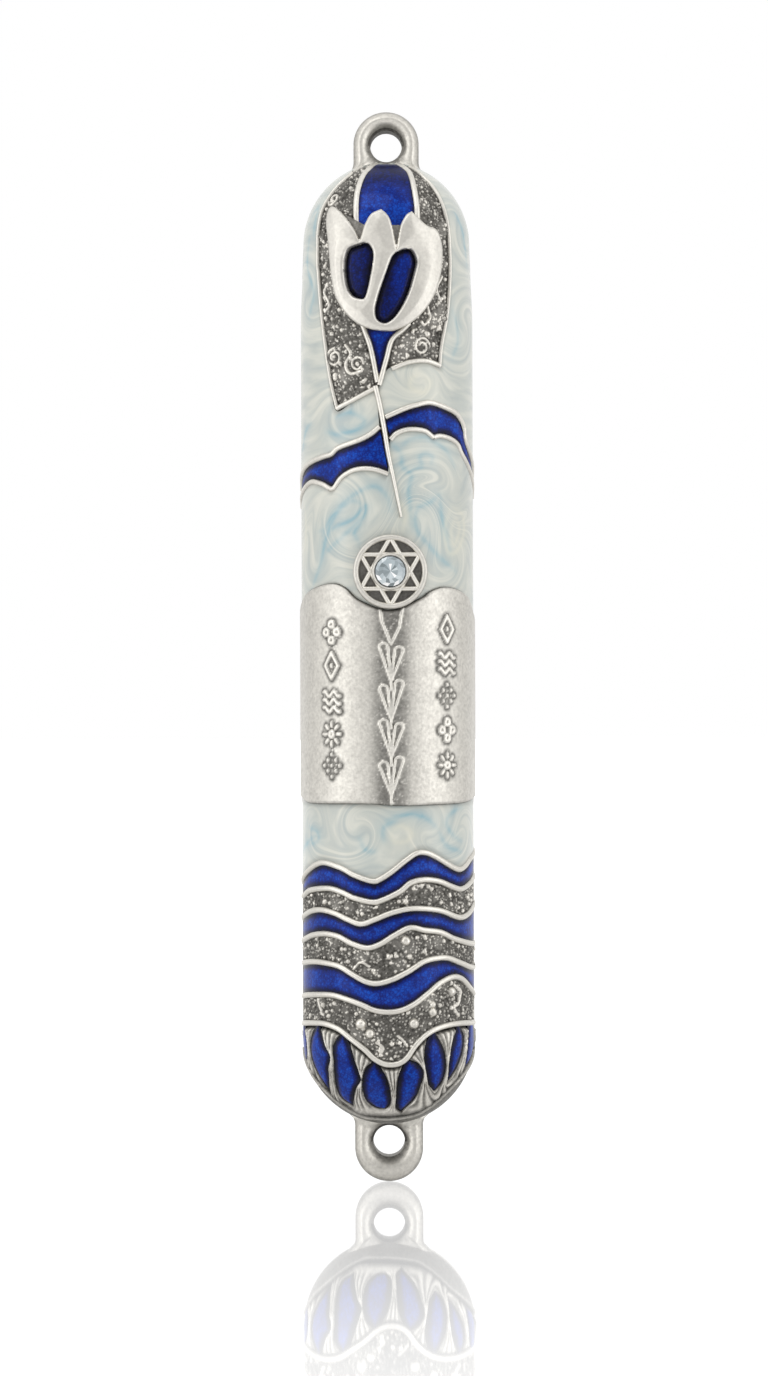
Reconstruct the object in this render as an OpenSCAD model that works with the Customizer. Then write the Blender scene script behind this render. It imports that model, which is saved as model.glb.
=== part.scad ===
// Mezuzah case: a long cast pewter case with a D-shaped section and domed ends, a screw ear at
// each end, enamel in sunk cells, applied pewter ornaments, and a press-in back cover over the
// parchment scroll. +Z runs up the doorpost, the front looks along -Y, the wall is the plane y = 0,
// and the origin lies midway between the two screw holes. All sizes are in millimetres.

/* [Case] */
// Radius of the rounded front and of the domed ends
body_r = 9.2; // [9.1:0.05:9.3]
// Depth of the straight side walls behind the rounded front
skirt_d = 2.3; // [2.2:0.1:2.6]
// Height of the upper dome's centre above the origin
dome_top_z = 42.35; // [42.2:0.05:42.5]
// Height of the lower dome's centre, below the origin
dome_bottom_z = -42.15; // [-42.3:0.05:-42.0]
// Thickness of the cast wall
wall = 1.3; // [1.2:0.05:1.4]
// Width of the bare pewter lip left at the wall side
lip_w = 0.9; // [0.7:0.1:1.2]

/* [Enamel] */
// Depth of the sunk cells that hold the enamel
cell_depth = 0.45; // [0.3:0.05:0.5]
// How far the fired enamel stays below the metal ridges
enamel_step = 0.05; // [0.02:0.01:0.1]
// Width of a metal ridge between two cells
ridge_w = 0.52; // [0.45:0.01:0.55]

/* [Screw ears] */
// Distance from the origin to each screw hole
hole_z = 53.4; // [53.3:0.05:53.6]
// Radius of the screw holes
hole_r = 1.7; // [1.6:0.05:1.75]
// Radius of the sunk mouth at the front of each hole
mouth_r = 2.05; // [1.8:0.05:2.2]
// Depth of that sunk mouth
mouth_d = 0.9; // [0.5:0.1:1.2]
// Thickness of the ears
ear_d = 3.0; // [2.8:0.1:3.2]
// Outer radius of the upper ear
ear_top_r = 3.5; // [3.4:0.05:3.6]
// Outer radius of the lower ear
ear_bottom_r = 3.65; // [3.5:0.05:3.7]

/* [Applied ornaments] */
// How far the double tablets stand proud of the case
tablet_proud = 0.4; // [0.3:0.05:0.6]
// How far the three-petal emblem stands proud of the case
emblem_proud = 0.9; // [0.6:0.05:1.1]
// How far the slanted stem stands proud of the case
stem_proud = 0.3; // [0.2:0.05:0.4]
// Outer radius of the star medallion
medallion_r = 3.9; // [3.7:0.05:4.0]
// Width of the medallion's rim
rim_w = 0.58; // [0.5:0.02:0.7]
// Width of the bars of the six-pointed star
bar_w = 0.38; // [0.3:0.02:0.45]
// Radius of the round crystal
crystal_r = 1.62; // [1.55:0.01:1.7]

/* [Back and scroll] */
// Thickness of the back cover
cover_d = 1.0; // [0.9:0.05:1.1]
// Width of the ledge that the back cover rests on
ledge_w = 0.4; // [0.35:0.05:0.45]
// Clearance around the back cover
cover_gap = 0.05; // [0.03:0.01:0.08]
// Radius of the notch that a fingernail opens the cover with
notch_r = 1.5; // [1.2:0.1:1.8]
// Radius of the rolled parchment
scroll_r = 3.7; // [3.2:0.1:3.8]
// Length of the rolled parchment
scroll_len = 70; // [60:1:70]

/* [Hidden] */
$fn = 96;

// Working depth of every forward cut, well in front of the case
front_d = 16;
// Lines on the case, as (x, z) points from left to right: the top edges of the six wave ridges
ridge_1 = [[-9.7, -25.6], [-8.2, -23.5], [-6.7, -22.9], [-5.0, -23.4], [-1.8, -24.7],
           [0.3, -23.7], [3.0, -21.8], [4.5, -21.8], [7.4, -23.7], [9.7, -22.0]];
ridge_2 = [[-9.7, -27.3], [-8.4, -26.0], [-6.7, -25.6], [-4.9, -25.95], [-1.8, -26.9],
           [0.4, -26.2], [2.4, -24.9], [4.4, -24.65], [7.6, -25.8], [9.7, -24.9]];
ridge_3 = [[-9.7, -29.4], [-8.1, -28.05], [-6.3, -27.95], [-4.3, -28.75], [-2.9, -29.15],
           [0.2, -28.0], [3.2, -27.6], [5.7, -28.0], [7.7, -28.8], [9.7, -27.8]];
ridge_4 = [[-9.7, -32.0], [-8.0, -30.65], [-6.2, -30.45], [-4.0, -31.2], [-2.3, -31.7],
           [0.0, -30.7], [2.2, -29.65], [4.6, -29.95], [7.2, -31.0], [9.7, -32.0]];
ridge_5 = [[-9.7, -34.2], [-7.2, -33.45], [-5.3, -33.75], [-3.2, -34.85], [-1.2, -35.45],
           [1.2, -34.6], [3.7, -33.15], [5.8, -32.85], [7.8, -33.65], [9.7, -34.5]];
ridge_6 = [[-9.7, -37.7], [-7.2, -36.8], [-5.2, -36.85], [-3.0, -37.6], [0.0, -38.4],
           [2.4, -37.8], [4.6, -36.2], [6.4, -35.05], [7.7, -35.2], [9.7, -37.0]];
scallop = [[-9.7, -40.35], [-7.4, -39.85], [-5.3, -40.3], [-2.6, -42.3], [-0.8, -43.85],
           [0.9, -44.0], [2.6, -42.3], [4.4, -40.6], [7.0, -40.0], [9.7, -40.1]];
// The ribbons: upper edge and lower edge of each blue field, then the pearl field's edge below
ribbon_left_top = [[-9.7, 16.4], [-8.7, 18.4], [-7.5, 19.3], [-6.1, 19.5], [-5.0, 20.15],
                   [-2.8, 20.75], [-0.85, 22.3]];
ribbon_left_low_in = [[0.1, 17.9], [-1.2, 18.45], [-2.7, 18.6], [-4.4, 18.0], [-5.8, 16.6]];
ribbon_left_low_out = [[-5.8, 16.6], [-7.4, 17.35], [-8.5, 17.2], [-9.7, 15.0]];
ribbon_right_top = [[-0.1, 23.3], [1.4, 23.9], [4.2, 24.8], [6.3, 24.35], [8.0, 22.9], [9.7, 18.4]];
ribbon_right_low_out = [[9.7, 16.9], [8.0, 20.4], [6.4, 22.0], [4.9, 21.9]];
ribbon_right_low_in = [[4.9, 21.9], [4.2, 22.45], [2.9, 22.7], [1.6, 22.45], [0.35, 21.45]];
// Outer edge of the granulated arch panel, from the ear down to its lower corner
arch_left = [[-3.9, 49.8], [-5.8, 47.8], [-7.1, 44.8], [-7.35, 40.6], [-6.9, 35.1], [-5.3, 24.5]];
arch_right = [[3.8, 49.8], [5.3, 47.8], [6.6, 43.6], [6.8, 39.8], [6.4, 34.8], [5.6, 29.1]];
// Top edge of the double tablets
tablets_top = [[-9.7, 2.6], [-9.1, 4.3], [-8.2, 5.4], [-6.9, 6.05], [-5.5, 6.15], [-4.2, 5.7],
               [-2.8, 4.5], [0.3, 3.4], [3.4, 4.9], [4.8, 5.55], [6.1, 5.8], [7.4, 5.5],
               [8.5, 4.5], [9.7, 1.6]];
tablets_bottom_z = -16.95;
// The stem: centre points from the column's point to the free tip, and half its width at each end
stem_line = [[-1.2, 26.7], [-0.5, 22.9], [0.25, 19.2], [0.75, 16.7], [1.45, 13.1]];
stem_half = [0.27, 0.14];
medallion_x = 0.3;
medallion_z = 7.37;
medallion_back = 10.2;
medallion_floor = 12.0;
medallion_face = 12.6;
bezel_face = 12.85;
crystal_girdle = 12.75;
crystal_top = 13.25;
pavilion_d = 0.75;
cavity_r = body_r - wall;
rebate_r = cavity_r + ledge_w;
ear_cut_top = dome_top_z + 8.55;
ear_cut_bottom = dome_bottom_z - 8.55;
scroll_depth = 5.2;
scroll_bottom_z = -45.7;
scroll_core_r = 0.9;

// A smooth open line through the given points: each span is a Catmull-Rom curve
function span_point(a, b, c, d, t) =
    0.5 * (2 * b + (c - a) * t + (2 * a - 5 * b + 4 * c - d) * t * t
           + (3 * b - a - 3 * c + d) * t * t * t);
function smooth(p, steps = 4) = [
    for (i = [0 : len(p) - 2])
        for (s = [0 : steps - 1])
            span_point(p[max(i - 1, 0)], p[i], p[i + 1], p[min(i + 2, len(p) - 1)], s / steps),
    p[len(p) - 1]];
// A smooth closed line through the given points
function smooth_ring(p, steps = 4) = [
    for (i = [0 : len(p) - 1])
        for (s = [0 : steps - 1])
            span_point(p[(i + len(p) - 1) % len(p)], p[i], p[(i + 1) % len(p)],
                       p[(i + 2) % len(p)], s / steps)];
function backwards(p) = [for (i = [len(p) - 1 : -1 : 0]) p[i]];
function lowered(p, dz) = [for (q = p) [q[0], q[1] - dz]];
// One side of the stem: the centre line moved sideways by its half width, which tapers to the tip
function stem_side(side) = [
    for (i = [0 : len(stem_line) - 1])
        let (w = stem_half[0] + (stem_half[1] - stem_half[0]) * i / (len(stem_line) - 1))
            [stem_line[i][0] + side * w, stem_line[i][1]]];

// The fields between the metal lines, seen from the front
wave_field_1 = concat(lowered(smooth(ridge_1), ridge_w), backwards(smooth(ridge_2)));
wave_field_2 = concat(lowered(smooth(ridge_3), ridge_w), backwards(smooth(ridge_4)));
wave_field_3 = concat(lowered(smooth(ridge_5), ridge_w), backwards(smooth(ridge_6)));
pearl_low_field = concat([[9.7, tablets_bottom_z], [-9.7, tablets_bottom_z]], smooth(ridge_1));
ribbon_left_field = concat(smooth(ribbon_left_top), smooth(ribbon_left_low_in),
                           smooth(ribbon_left_low_out));
ribbon_right_field = concat(smooth(ribbon_right_top), smooth(ribbon_right_low_out),
                            smooth(ribbon_right_low_in));
pearl_left_field = concat(
    [[-9.7, 53], [-3.9, 53]], smooth(arch_left), [[-1.9, 26.2], [-1.5, 26.2]],
    backwards([for (q = smooth(ribbon_left_top)) [q[0], q[1] + ridge_w]]));
pearl_right_field = concat(
    [[9.7, 53], [3.8, 53]], smooth(arch_right), [[4.0, 29.45], [2.3, 29.3], [0.6, 28.5]],
    [[-0.5, 25.0]], [for (q = smooth(ribbon_right_top)) [q[0], q[1] + ridge_w]]);
pearl_mid_outline = concat(
    smooth(tablets_top),
    lowered(smooth(ribbon_right_low_out), ridge_w),
    lowered(smooth(ribbon_right_low_in), ridge_w),
    lowered(smooth(ribbon_left_low_in), ridge_w),
    lowered(smooth(ribbon_left_low_out), ridge_w));
column_field = concat(
    [[2.0, 50.5], [-1.6, 50.5]],
    smooth([[-2.4, 49.6], [-3.1, 47.4], [-3.3, 44.8], [-4.5, 42.2], [-4.5, 36.4], [-2.3, 32.7]]),
    [[-1.65, 30.6], [-0.87, 26.8], [-0.1, 29.5]],
    smooth([[0.55, 31.6], [1.8, 32.8], [3.4, 36.2], [3.4, 42.0], [3.05, 44.8], [2.75, 48.0],
            [2.3, 50.0]]));
// The open cells of the fringe, one closed outline each, from left to right
fringe_cells = [
    [[-8.6, -40.7], [-9.7, -40.7], [-9.6, -43.2], [-8.8, -45.0], [-8.7, -42.4]],
    [[-7.8, -40.8], [-7.3, -41.0], [-6.8, -42.5], [-6.5, -44.3], [-6.4, -47.4], [-7.7, -45.3],
     [-8.25, -42.9]],
    [[-4.8, -41.3], [-4.1, -42.5], [-3.3, -45.6], [-3.9, -48.6], [-5.3, -47.2], [-5.7, -44.0]],
    [[-1.8, -44.2], [-1.1, -44.8], [-0.25, -46.6], [-0.2, -48.9], [-1.6, -48.9], [-2.5, -47.2],
     [-2.3, -45.1]],
    [[1.6, -44.6], [2.3, -44.3], [3.3, -45.1], [2.6, -47.9], [1.3, -49.2], [0.95, -47.6]],
    [[4.9, -41.3], [5.6, -42.0], [6.05, -44.0], [5.4, -46.8], [4.8, -47.2], [4.35, -44.6]],
    [[7.2, -40.9], [7.7, -41.1], [7.7, -43.1], [6.2, -46.3], [6.4, -43.8]],
    [[8.3, -40.9], [9.7, -40.9], [9.6, -42.9], [8.1, -45.0], [8.3, -42.9]]];
// The three-petal emblem: its outline in runs between the petal tips and the clefts
emblem_outline = concat(
    smooth([[-5.4, 45.8], [-4.6, 45.2], [-3.5, 43.8], [-2.65, 41.9]]),
    smooth([[-2.65, 41.9], [-2.1, 43.7], [-0.5, 45.1]]),
    smooth([[-0.5, 45.1], [0.5, 43.8], [1.0, 41.1]]),
    smooth([[1.0, 41.1], [1.5, 43.7], [2.5, 45.0]]),
    smooth([[2.5, 45.0], [3.3, 44.1], [4.9, 43.2], [5.5, 40.6], [4.6, 36.2], [1.9, 33.0],
            [-1.4, 32.65], [-4.4, 35.0], [-5.6, 39.8], [-5.9, 43.9], [-5.4, 45.8]]));
emblem_window_left = [[-2.3, 41.7], [-3.7, 41.1], [-4.2, 39.2], [-3.6, 36.5], [-2.3, 35.9],
                      [-1.5, 38.8], [-1.5, 41.0]];
emblem_window_right = [[0.9, 40.6], [2.1, 41.0], [3.0, 39.8], [1.5, 35.0], [-0.2, 33.3],
                       [-1.1, 34.8], [-0.3, 38.0]];

// Everything between two depths in front of the wall plane, over a front-view shape
module forward(from_d, to_d) {
    translate([0, -from_d, 0])
        rotate([90, 0, 0])
            linear_extrude(to_d - from_d)
                children();
}

// The case's outline from the front: straight sides between two round ends
module end_outline(r) {
    translate([0, dome_top_z])
        circle(r);
    translate([0, dome_bottom_z])
        circle(r);
    translate([-r, dome_bottom_z])
        square([2 * r, dome_top_z - dome_bottom_z]);
}

// Half of that outline, as the profile of the rounded front
module half_outline(r) {
    intersection() {
        end_outline(r);
        translate([0, dome_bottom_z - 2 * r])
            square([2 * r, dome_top_z - dome_bottom_z + 4 * r]);
    }
}

// The case's whole form at a given radius: straight skirt behind, rounded front ahead of it
module case_form(r) {
    forward(0, skirt_d)
        end_outline(r);
    translate([0, -skirt_d, 0])
        rotate([0, 0, 180])
            rotate_extrude(angle = 180)
                half_outline(r);
}

// A skin over the rounded front, between two distances from the case's surface, under an outline
module skin(low, high, edge_d) {
    intersection() {
        difference() {
            case_form(body_r + high);
            case_form(body_r + low);
        }
        forward(edge_d, front_d)
            children();
    }
}

// Fired enamel in its sunk cell
module enamel() {
    skin(-cell_depth, -enamel_step, lip_w)
        children();
}

module pearl_mid_shape() {
    difference() {
        polygon(pearl_mid_outline);
        polygon(concat(stem_side(-1), backwards(stem_side(1))));
        translate([medallion_x, medallion_z])
            circle(medallion_r);
    }
}

module fringe_shape() {
    for (cell = fringe_cells)
        polygon(smooth_ring(cell, 3));
}

// The cut that parts each ear from the casting
module ear_room(sign, cut_z) {
    room = 6;
    translate([-room, -ear_d, sign > 0 ? cut_z : cut_z - room])
        cube([2 * room, ear_d + 1, room]);
}

module case_shell() {
    color("silver")
        difference() {
            union() {
                case_form(body_r - cell_depth);
                difference() {
                    case_form(body_r);
                    forward(lip_w, front_d) {
                        polygon(pearl_left_field);
                        polygon(pearl_right_field);
                        pearl_mid_shape();
                        polygon(pearl_low_field);
                        polygon(column_field);
                        polygon(ribbon_left_field);
                        polygon(ribbon_right_field);
                        polygon(wave_field_1);
                        polygon(wave_field_2);
                        polygon(wave_field_3);
                        fringe_shape();
                    }
                }
            }
            case_form(cavity_r);
            forward(-1, cover_d)
                end_outline(rebate_r);
            ear_room(1, ear_cut_top);
            ear_room(-1, ear_cut_bottom);
        }
}

// A flat ring ear with a straight bore and a sunk mouth in front
module ear(sign, cut_z, rim_z, rim_r) {
    color("silver")
        difference() {
            forward(0, ear_d)
                difference() {
                    union() {
                        translate([0, rim_z])
                            circle(rim_r);
                        translate([-rim_r, min(cut_z, rim_z)])
                            square([2 * rim_r, abs(rim_z - cut_z)]);
                    }
                    translate([-2 * rim_r, sign > 0 ? cut_z - 4 * rim_r : cut_z])
                        square(4 * rim_r);
                }
            translate([0, 1, sign * hole_z])
                rotate([90, 0, 0])
                    cylinder(h = ear_d + 2, r = hole_r);
            translate([0, mouth_d - ear_d, sign * hole_z])
                rotate([90, 0, 0])
                    cylinder(h = mouth_d, r1 = hole_r, r2 = mouth_r);
            case_form(cavity_r);
        }
}

module mounting_ear_top() {
    ear(1, ear_cut_top, 53.6, ear_top_r);
}

module mounting_ear_bottom() {
    ear(-1, ear_cut_bottom, -54.1, ear_bottom_r);
}

module pearl_enamel_upper_left() {
    color("gainsboro")
        difference() {
            enamel()
                polygon(pearl_left_field);
            ear_room(1, ear_cut_top);
        }
}

module pearl_enamel_upper_right() {
    color("gainsboro")
        difference() {
            enamel()
                polygon(pearl_right_field);
            ear_room(1, ear_cut_top);
        }
}

module pearl_enamel_middle() {
    color("gainsboro")
        enamel()
            pearl_mid_shape();
}

module pearl_enamel_lower() {
    color("gainsboro")
        enamel()
            polygon(pearl_low_field);
}

module column_enamel() {
    color("mediumblue")
        enamel()
            polygon(column_field);
}

module ribbon_enamel_left() {
    color("mediumblue")
        enamel()
            polygon(ribbon_left_field);
}

module ribbon_enamel_right() {
    color("mediumblue")
        enamel()
            polygon(ribbon_right_field);
}

module wave_enamel_top() {
    color("mediumblue")
        enamel()
            polygon(wave_field_1);
}

module wave_enamel_middle() {
    color("mediumblue")
        enamel()
            polygon(wave_field_2);
}

module wave_enamel_bottom() {
    color("mediumblue")
        enamel()
            polygon(wave_field_3);
}

module fringe_enamel() {
    color("mediumblue")
        enamel()
            fringe_shape();
}

// Two round-topped tablets side by side, wrapped over the case
module tablets_plaque() {
    color("lightgray")
        skin(0, tablet_proud, lip_w)
            difference() {
                polygon(concat(smooth(tablets_top),
                               [[9.9, tablets_bottom_z], [-9.9, tablets_bottom_z]]));
                translate([medallion_x, medallion_z])
                    circle(medallion_r);
            }
}

module at_medallion() {
    translate([medallion_x, 0, medallion_z])
        children();
}

// One of the star's two triangles, as an outline ring of the bars' width
module star_triangle(turn) {
    rotate(turn)
        difference() {
            circle(r = medallion_r - rim_w / 2, $fn = 3);
            circle(r = medallion_r - rim_w / 2 - 2 * bar_w, $fn = 3);
        }
}

module star_medallion() {
    color("silver")
        difference() {
            at_medallion()
                union() {
                    forward(medallion_back, medallion_floor)
                        circle(medallion_r);
                    forward(medallion_floor, medallion_face) {
                        difference() {
                            circle(medallion_r);
                            circle(medallion_r - rim_w);
                        }
                        intersection() {
                            union() {
                                star_triangle(90);
                                star_triangle(-90);
                            }
                            circle(medallion_r - rim_w / 2);
                        }
                        circle(crystal_r + 0.35);
                    }
                    forward(medallion_face, bezel_face)
                        circle(crystal_r + 0.25);
                }
            at_medallion()
                forward(crystal_girdle - pavilion_d, front_d)
                    circle(crystal_r);
            case_form(body_r);
        }
}

// A round brilliant: pavilion cone, thin girdle, crown and flat table
module crystal() {
    table_r = 0.55 * crystal_r;
    girdle_d = 0.1;
    color("lightcyan")
        at_medallion()
            translate([0, -crystal_girdle + pavilion_d, 0])
                rotate([90, 0, 0])
                    union() {
                        cylinder(h = pavilion_d, r1 = 0.25, r2 = crystal_r - 0.01);
                        translate([0, 0, pavilion_d])
                            cylinder(h = girdle_d, r = crystal_r - 0.01);
                        translate([0, 0, pavilion_d + girdle_d])
                            cylinder(h = crystal_top - crystal_girdle - girdle_d,
                                     r1 = crystal_r - 0.01, r2 = table_r);
                    }
}

module tulip_emblem() {
    color("lightgray")
        skin(0, emblem_proud, lip_w)
            difference() {
                polygon(emblem_outline);
                polygon(smooth_ring(emblem_window_left));
                polygon(smooth_ring(emblem_window_right));
            }
}

// The slanted stem, standing on the bare metal left between the enamel fields
module stem_wire() {
    color("lightgray")
        skin(0, stem_proud, lip_w)
            polygon(concat(stem_side(-1), backwards(stem_side(1))));
}

module back_cover() {
    color("gray")
        difference() {
            forward(0, cover_d)
                end_outline(rebate_r - cover_gap);
            translate([0, 1, dome_bottom_z - rebate_r])
                rotate([90, 0, 0])
                    cylinder(h = 1 + cover_d / 2, r = notch_r);
        }
}

// The rolled parchment, a little tube of writing skin
module scroll() {
    color("wheat")
        translate([0, -scroll_depth, scroll_bottom_z])
            difference() {
                cylinder(h = scroll_len, r = scroll_r);
                translate([0, 0, -1])
                    cylinder(h = scroll_len + 2, r = scroll_core_r);
            }
}

case_shell();
mounting_ear_top();
mounting_ear_bottom();
pearl_enamel_upper_left();
pearl_enamel_upper_right();
pearl_enamel_middle();
pearl_enamel_lower();
column_enamel();
ribbon_enamel_left();
ribbon_enamel_right();
wave_enamel_top();
wave_enamel_middle();
wave_enamel_bottom();
fringe_enamel();
tablets_plaque();
star_medallion();
crystal();
tulip_emblem();
stem_wire();
back_cover();
scroll();
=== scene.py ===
import itertools
import math

import bpy
import numpy as np
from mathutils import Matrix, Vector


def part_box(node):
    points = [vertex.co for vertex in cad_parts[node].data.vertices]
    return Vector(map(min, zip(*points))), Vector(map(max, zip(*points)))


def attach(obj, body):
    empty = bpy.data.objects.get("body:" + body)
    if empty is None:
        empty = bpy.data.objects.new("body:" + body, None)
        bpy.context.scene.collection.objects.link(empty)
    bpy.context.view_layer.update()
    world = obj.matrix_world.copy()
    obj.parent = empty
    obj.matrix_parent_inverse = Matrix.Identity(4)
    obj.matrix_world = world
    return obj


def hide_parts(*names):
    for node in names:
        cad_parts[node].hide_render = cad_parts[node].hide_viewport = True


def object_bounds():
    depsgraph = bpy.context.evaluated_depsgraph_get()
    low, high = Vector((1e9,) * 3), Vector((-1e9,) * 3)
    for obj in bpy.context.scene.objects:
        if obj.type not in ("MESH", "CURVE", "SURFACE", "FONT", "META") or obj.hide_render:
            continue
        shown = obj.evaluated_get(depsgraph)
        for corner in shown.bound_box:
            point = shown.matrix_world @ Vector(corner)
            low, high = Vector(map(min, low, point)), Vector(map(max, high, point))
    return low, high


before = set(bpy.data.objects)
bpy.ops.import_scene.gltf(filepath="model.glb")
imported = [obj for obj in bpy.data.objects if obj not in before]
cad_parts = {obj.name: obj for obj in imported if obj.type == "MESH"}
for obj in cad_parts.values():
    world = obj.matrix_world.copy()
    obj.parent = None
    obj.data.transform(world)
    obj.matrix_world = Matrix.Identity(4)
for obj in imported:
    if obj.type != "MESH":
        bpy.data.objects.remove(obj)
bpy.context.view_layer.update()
mm = 0.001


# ---------------------------------------------------------------------------------------------
# The cast case: one hollow pewter casting, D-shaped in section with a domed end above and below.
# Its front is cast 0.45 mm low, as the bed for enamel and ornament, and a bare lip runs round the
# wall side. Behind, a rebate takes the cover and a long cavity takes the scroll.
shell_low, shell_high = np.array(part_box("case_shell")) / mm
front_r = shell_high[0] + 0.04
skirt_d = -shell_low[1] - shell_high[0]
top_centre = 42.65
foot_centre = -42.25
bed = -0.45
lip_angle = 98.7
back_angle = 90 + math.degrees(skirt_d / front_r)
cavity_in = 1.3
rebate_in = 0.9
rebate_d = 1.01
rebate_top = top_centre - 0.3
rebate_foot = foot_centre + 0.1


def smoothstep(t):
    """0 below t = 0, 1 above t = 1, and t^2 (3 - 2t) between."""
    t = np.clip(t, 0, 1)
    return t * t * (3 - 2 * t)


def case_radius(height):
    """Radius of the round front: front_r, eased down by 0.3 mm to the upper dome."""
    return front_r - 0.3 * smoothstep((height - 34) / 8.65)


def dome_angle(height, r, most):
    """Radians over a dome of radius r: the arc length past its centre over r, 0 between the two
    centres, and never beyond most."""
    past = np.maximum(height - top_centre, 0) + np.minimum(height - foot_centre, 0)
    return np.clip(past / r, -most, most)


def on_case(angle, height, lift=0.0):
    """Points of the case's skin. angle is degrees round its axis, 0 in front, and past 90 the same
    arc length runs straight back along the side wall. height is mm up the case, then arc length over
    a dome, where the section is the sphere of that radius. lift is mm out from the skin."""
    r = case_radius(height)
    over = dome_angle(height, r, math.pi / 2)
    ring = (r + lift) * np.cos(over)
    turn = np.radians(np.clip(angle, -90, 90))
    back = np.radians(np.maximum(np.abs(angle) - 90, 0)) * front_r
    z = np.clip(height, foot_centre, top_centre) + (r + lift) * np.sin(over)
    return np.stack([ring * np.sin(turn), back - skirt_d - ring * np.cos(turn), z], -1)


def grid_quads(rows, cols):
    """The quads of a rows x cols grid whose points are numbered row by row."""
    n = np.arange(rows * cols).reshape(rows, cols)
    return np.stack([n[:-1, :-1], n[:-1, 1:], n[1:, 1:], n[1:, :-1]], -1).reshape(-1, 4)


def tube_quads(rows, cols):
    """The quads of a grid whose rows are closed loops."""
    n = np.arange(rows * cols).reshape(rows, cols)
    m = np.roll(n, -1, axis=1)
    return np.stack([n[:-1], m[:-1], m[1:], n[1:]], -1).reshape(-1, 4)


def make_piece(name, points, quads, material, sharp=50, **values):
    """A closed mesh from points in mm and quads: points within 0.1 micron are one point, quads that
    lose a corner by it become triangles, and a shell whose signed volume is negative is turned."""
    points = points.reshape(-1, 3)
    _, first, same = np.unique(np.round(points, 4), axis=0, return_index=True, return_inverse=True)
    quads = same.reshape(-1)[quads]
    keep = quads != np.roll(quads, 1, axis=1)
    count = keep.sum(axis=1)
    whole = (count >= 3) & (quads[:, 0] != quads[:, 2]) & (quads[:, 1] != quads[:, 3])
    quads, keep, count = quads[whole], keep[whole], count[whole]
    verts = points[first]
    a, b, c, d = (verts[quads[:, k]] for k in range(4))
    volume = (np.cross(a, b) * c + np.cross(a, c) * d).sum()
    if volume < 0:
        quads, keep = quads[:, ::-1], keep[:, ::-1]
    loops = quads[keep]
    used, loops = np.unique(loops, return_inverse=True)
    mesh = bpy.data.meshes.new(name)
    mesh.vertices.add(len(used))
    mesh.vertices.foreach_set("co", (verts[used] * mm).ravel())
    mesh.loops.add(len(loops))
    mesh.loops.foreach_set("vertex_index", loops.reshape(-1))
    mesh.polygons.add(len(count))
    mesh.polygons.foreach_set("loop_start", np.cumsum(count) - count)
    mesh.polygons.foreach_set("loop_total", count)
    for key, data in values.items():
        data = np.asarray(data, dtype=float).reshape(len(points), -1)[first][used]
        kind = "FLOAT" if data.shape[1] == 1 else "FLOAT_VECTOR"
        layer = mesh.attributes.new(key, kind, "POINT")
        layer.data.foreach_set("value" if kind == "FLOAT" else "vector", data.ravel())
    mesh.update(calc_edges=True)
    mesh.validate()
    mesh.polygons.foreach_set("use_smooth", np.ones(len(mesh.polygons), dtype=bool))
    mesh.set_sharp_from_angle(angle=math.radians(sharp))
    mesh.materials.append(material)
    piece = bpy.data.objects.new(name, mesh)
    bpy.context.scene.collection.objects.link(piece)
    return piece


def new_material(name):
    """A node material, its shader and a function that adds a node with socket values and links."""
    material = bpy.data.materials.new(name)
    material.use_nodes = True
    tree = material.node_tree
    shader = tree.nodes["Principled BSDF"]

    def node(kind, inputs=None, **settings):
        """A new node of a kind; each input is a value or the socket that it is linked to."""
        made = tree.nodes.new("ShaderNode" + kind)
        for key, value in settings.items():
            setattr(made, key, value)
        for key, value in (inputs or {}).items():
            if isinstance(value, bpy.types.NodeSocket):
                tree.links.new(value, made.inputs[key])
            else:
                made.inputs[key].default_value = value
        return made

    def wire(key, socket):
        """Links a socket to one of the shader's inputs."""
        tree.links.new(socket, shader.inputs[key])

    return material, shader, node, wire


def ramp(node, factor, *stops):
    """A colour ramp over factor through (position, colour) stops; a single number is a grey."""
    made = node("ValToRGB", {"Fac": factor})
    marks = made.color_ramp.elements
    while len(marks) < len(stops):
        marks.new(0.5)
    for mark, (place, colour) in zip(marks, stops):
        mark.position = place
        mark.color = (*colour, 1) if isinstance(colour, tuple) else (colour, colour, colour, 1)
    return made.outputs["Color"]


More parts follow.
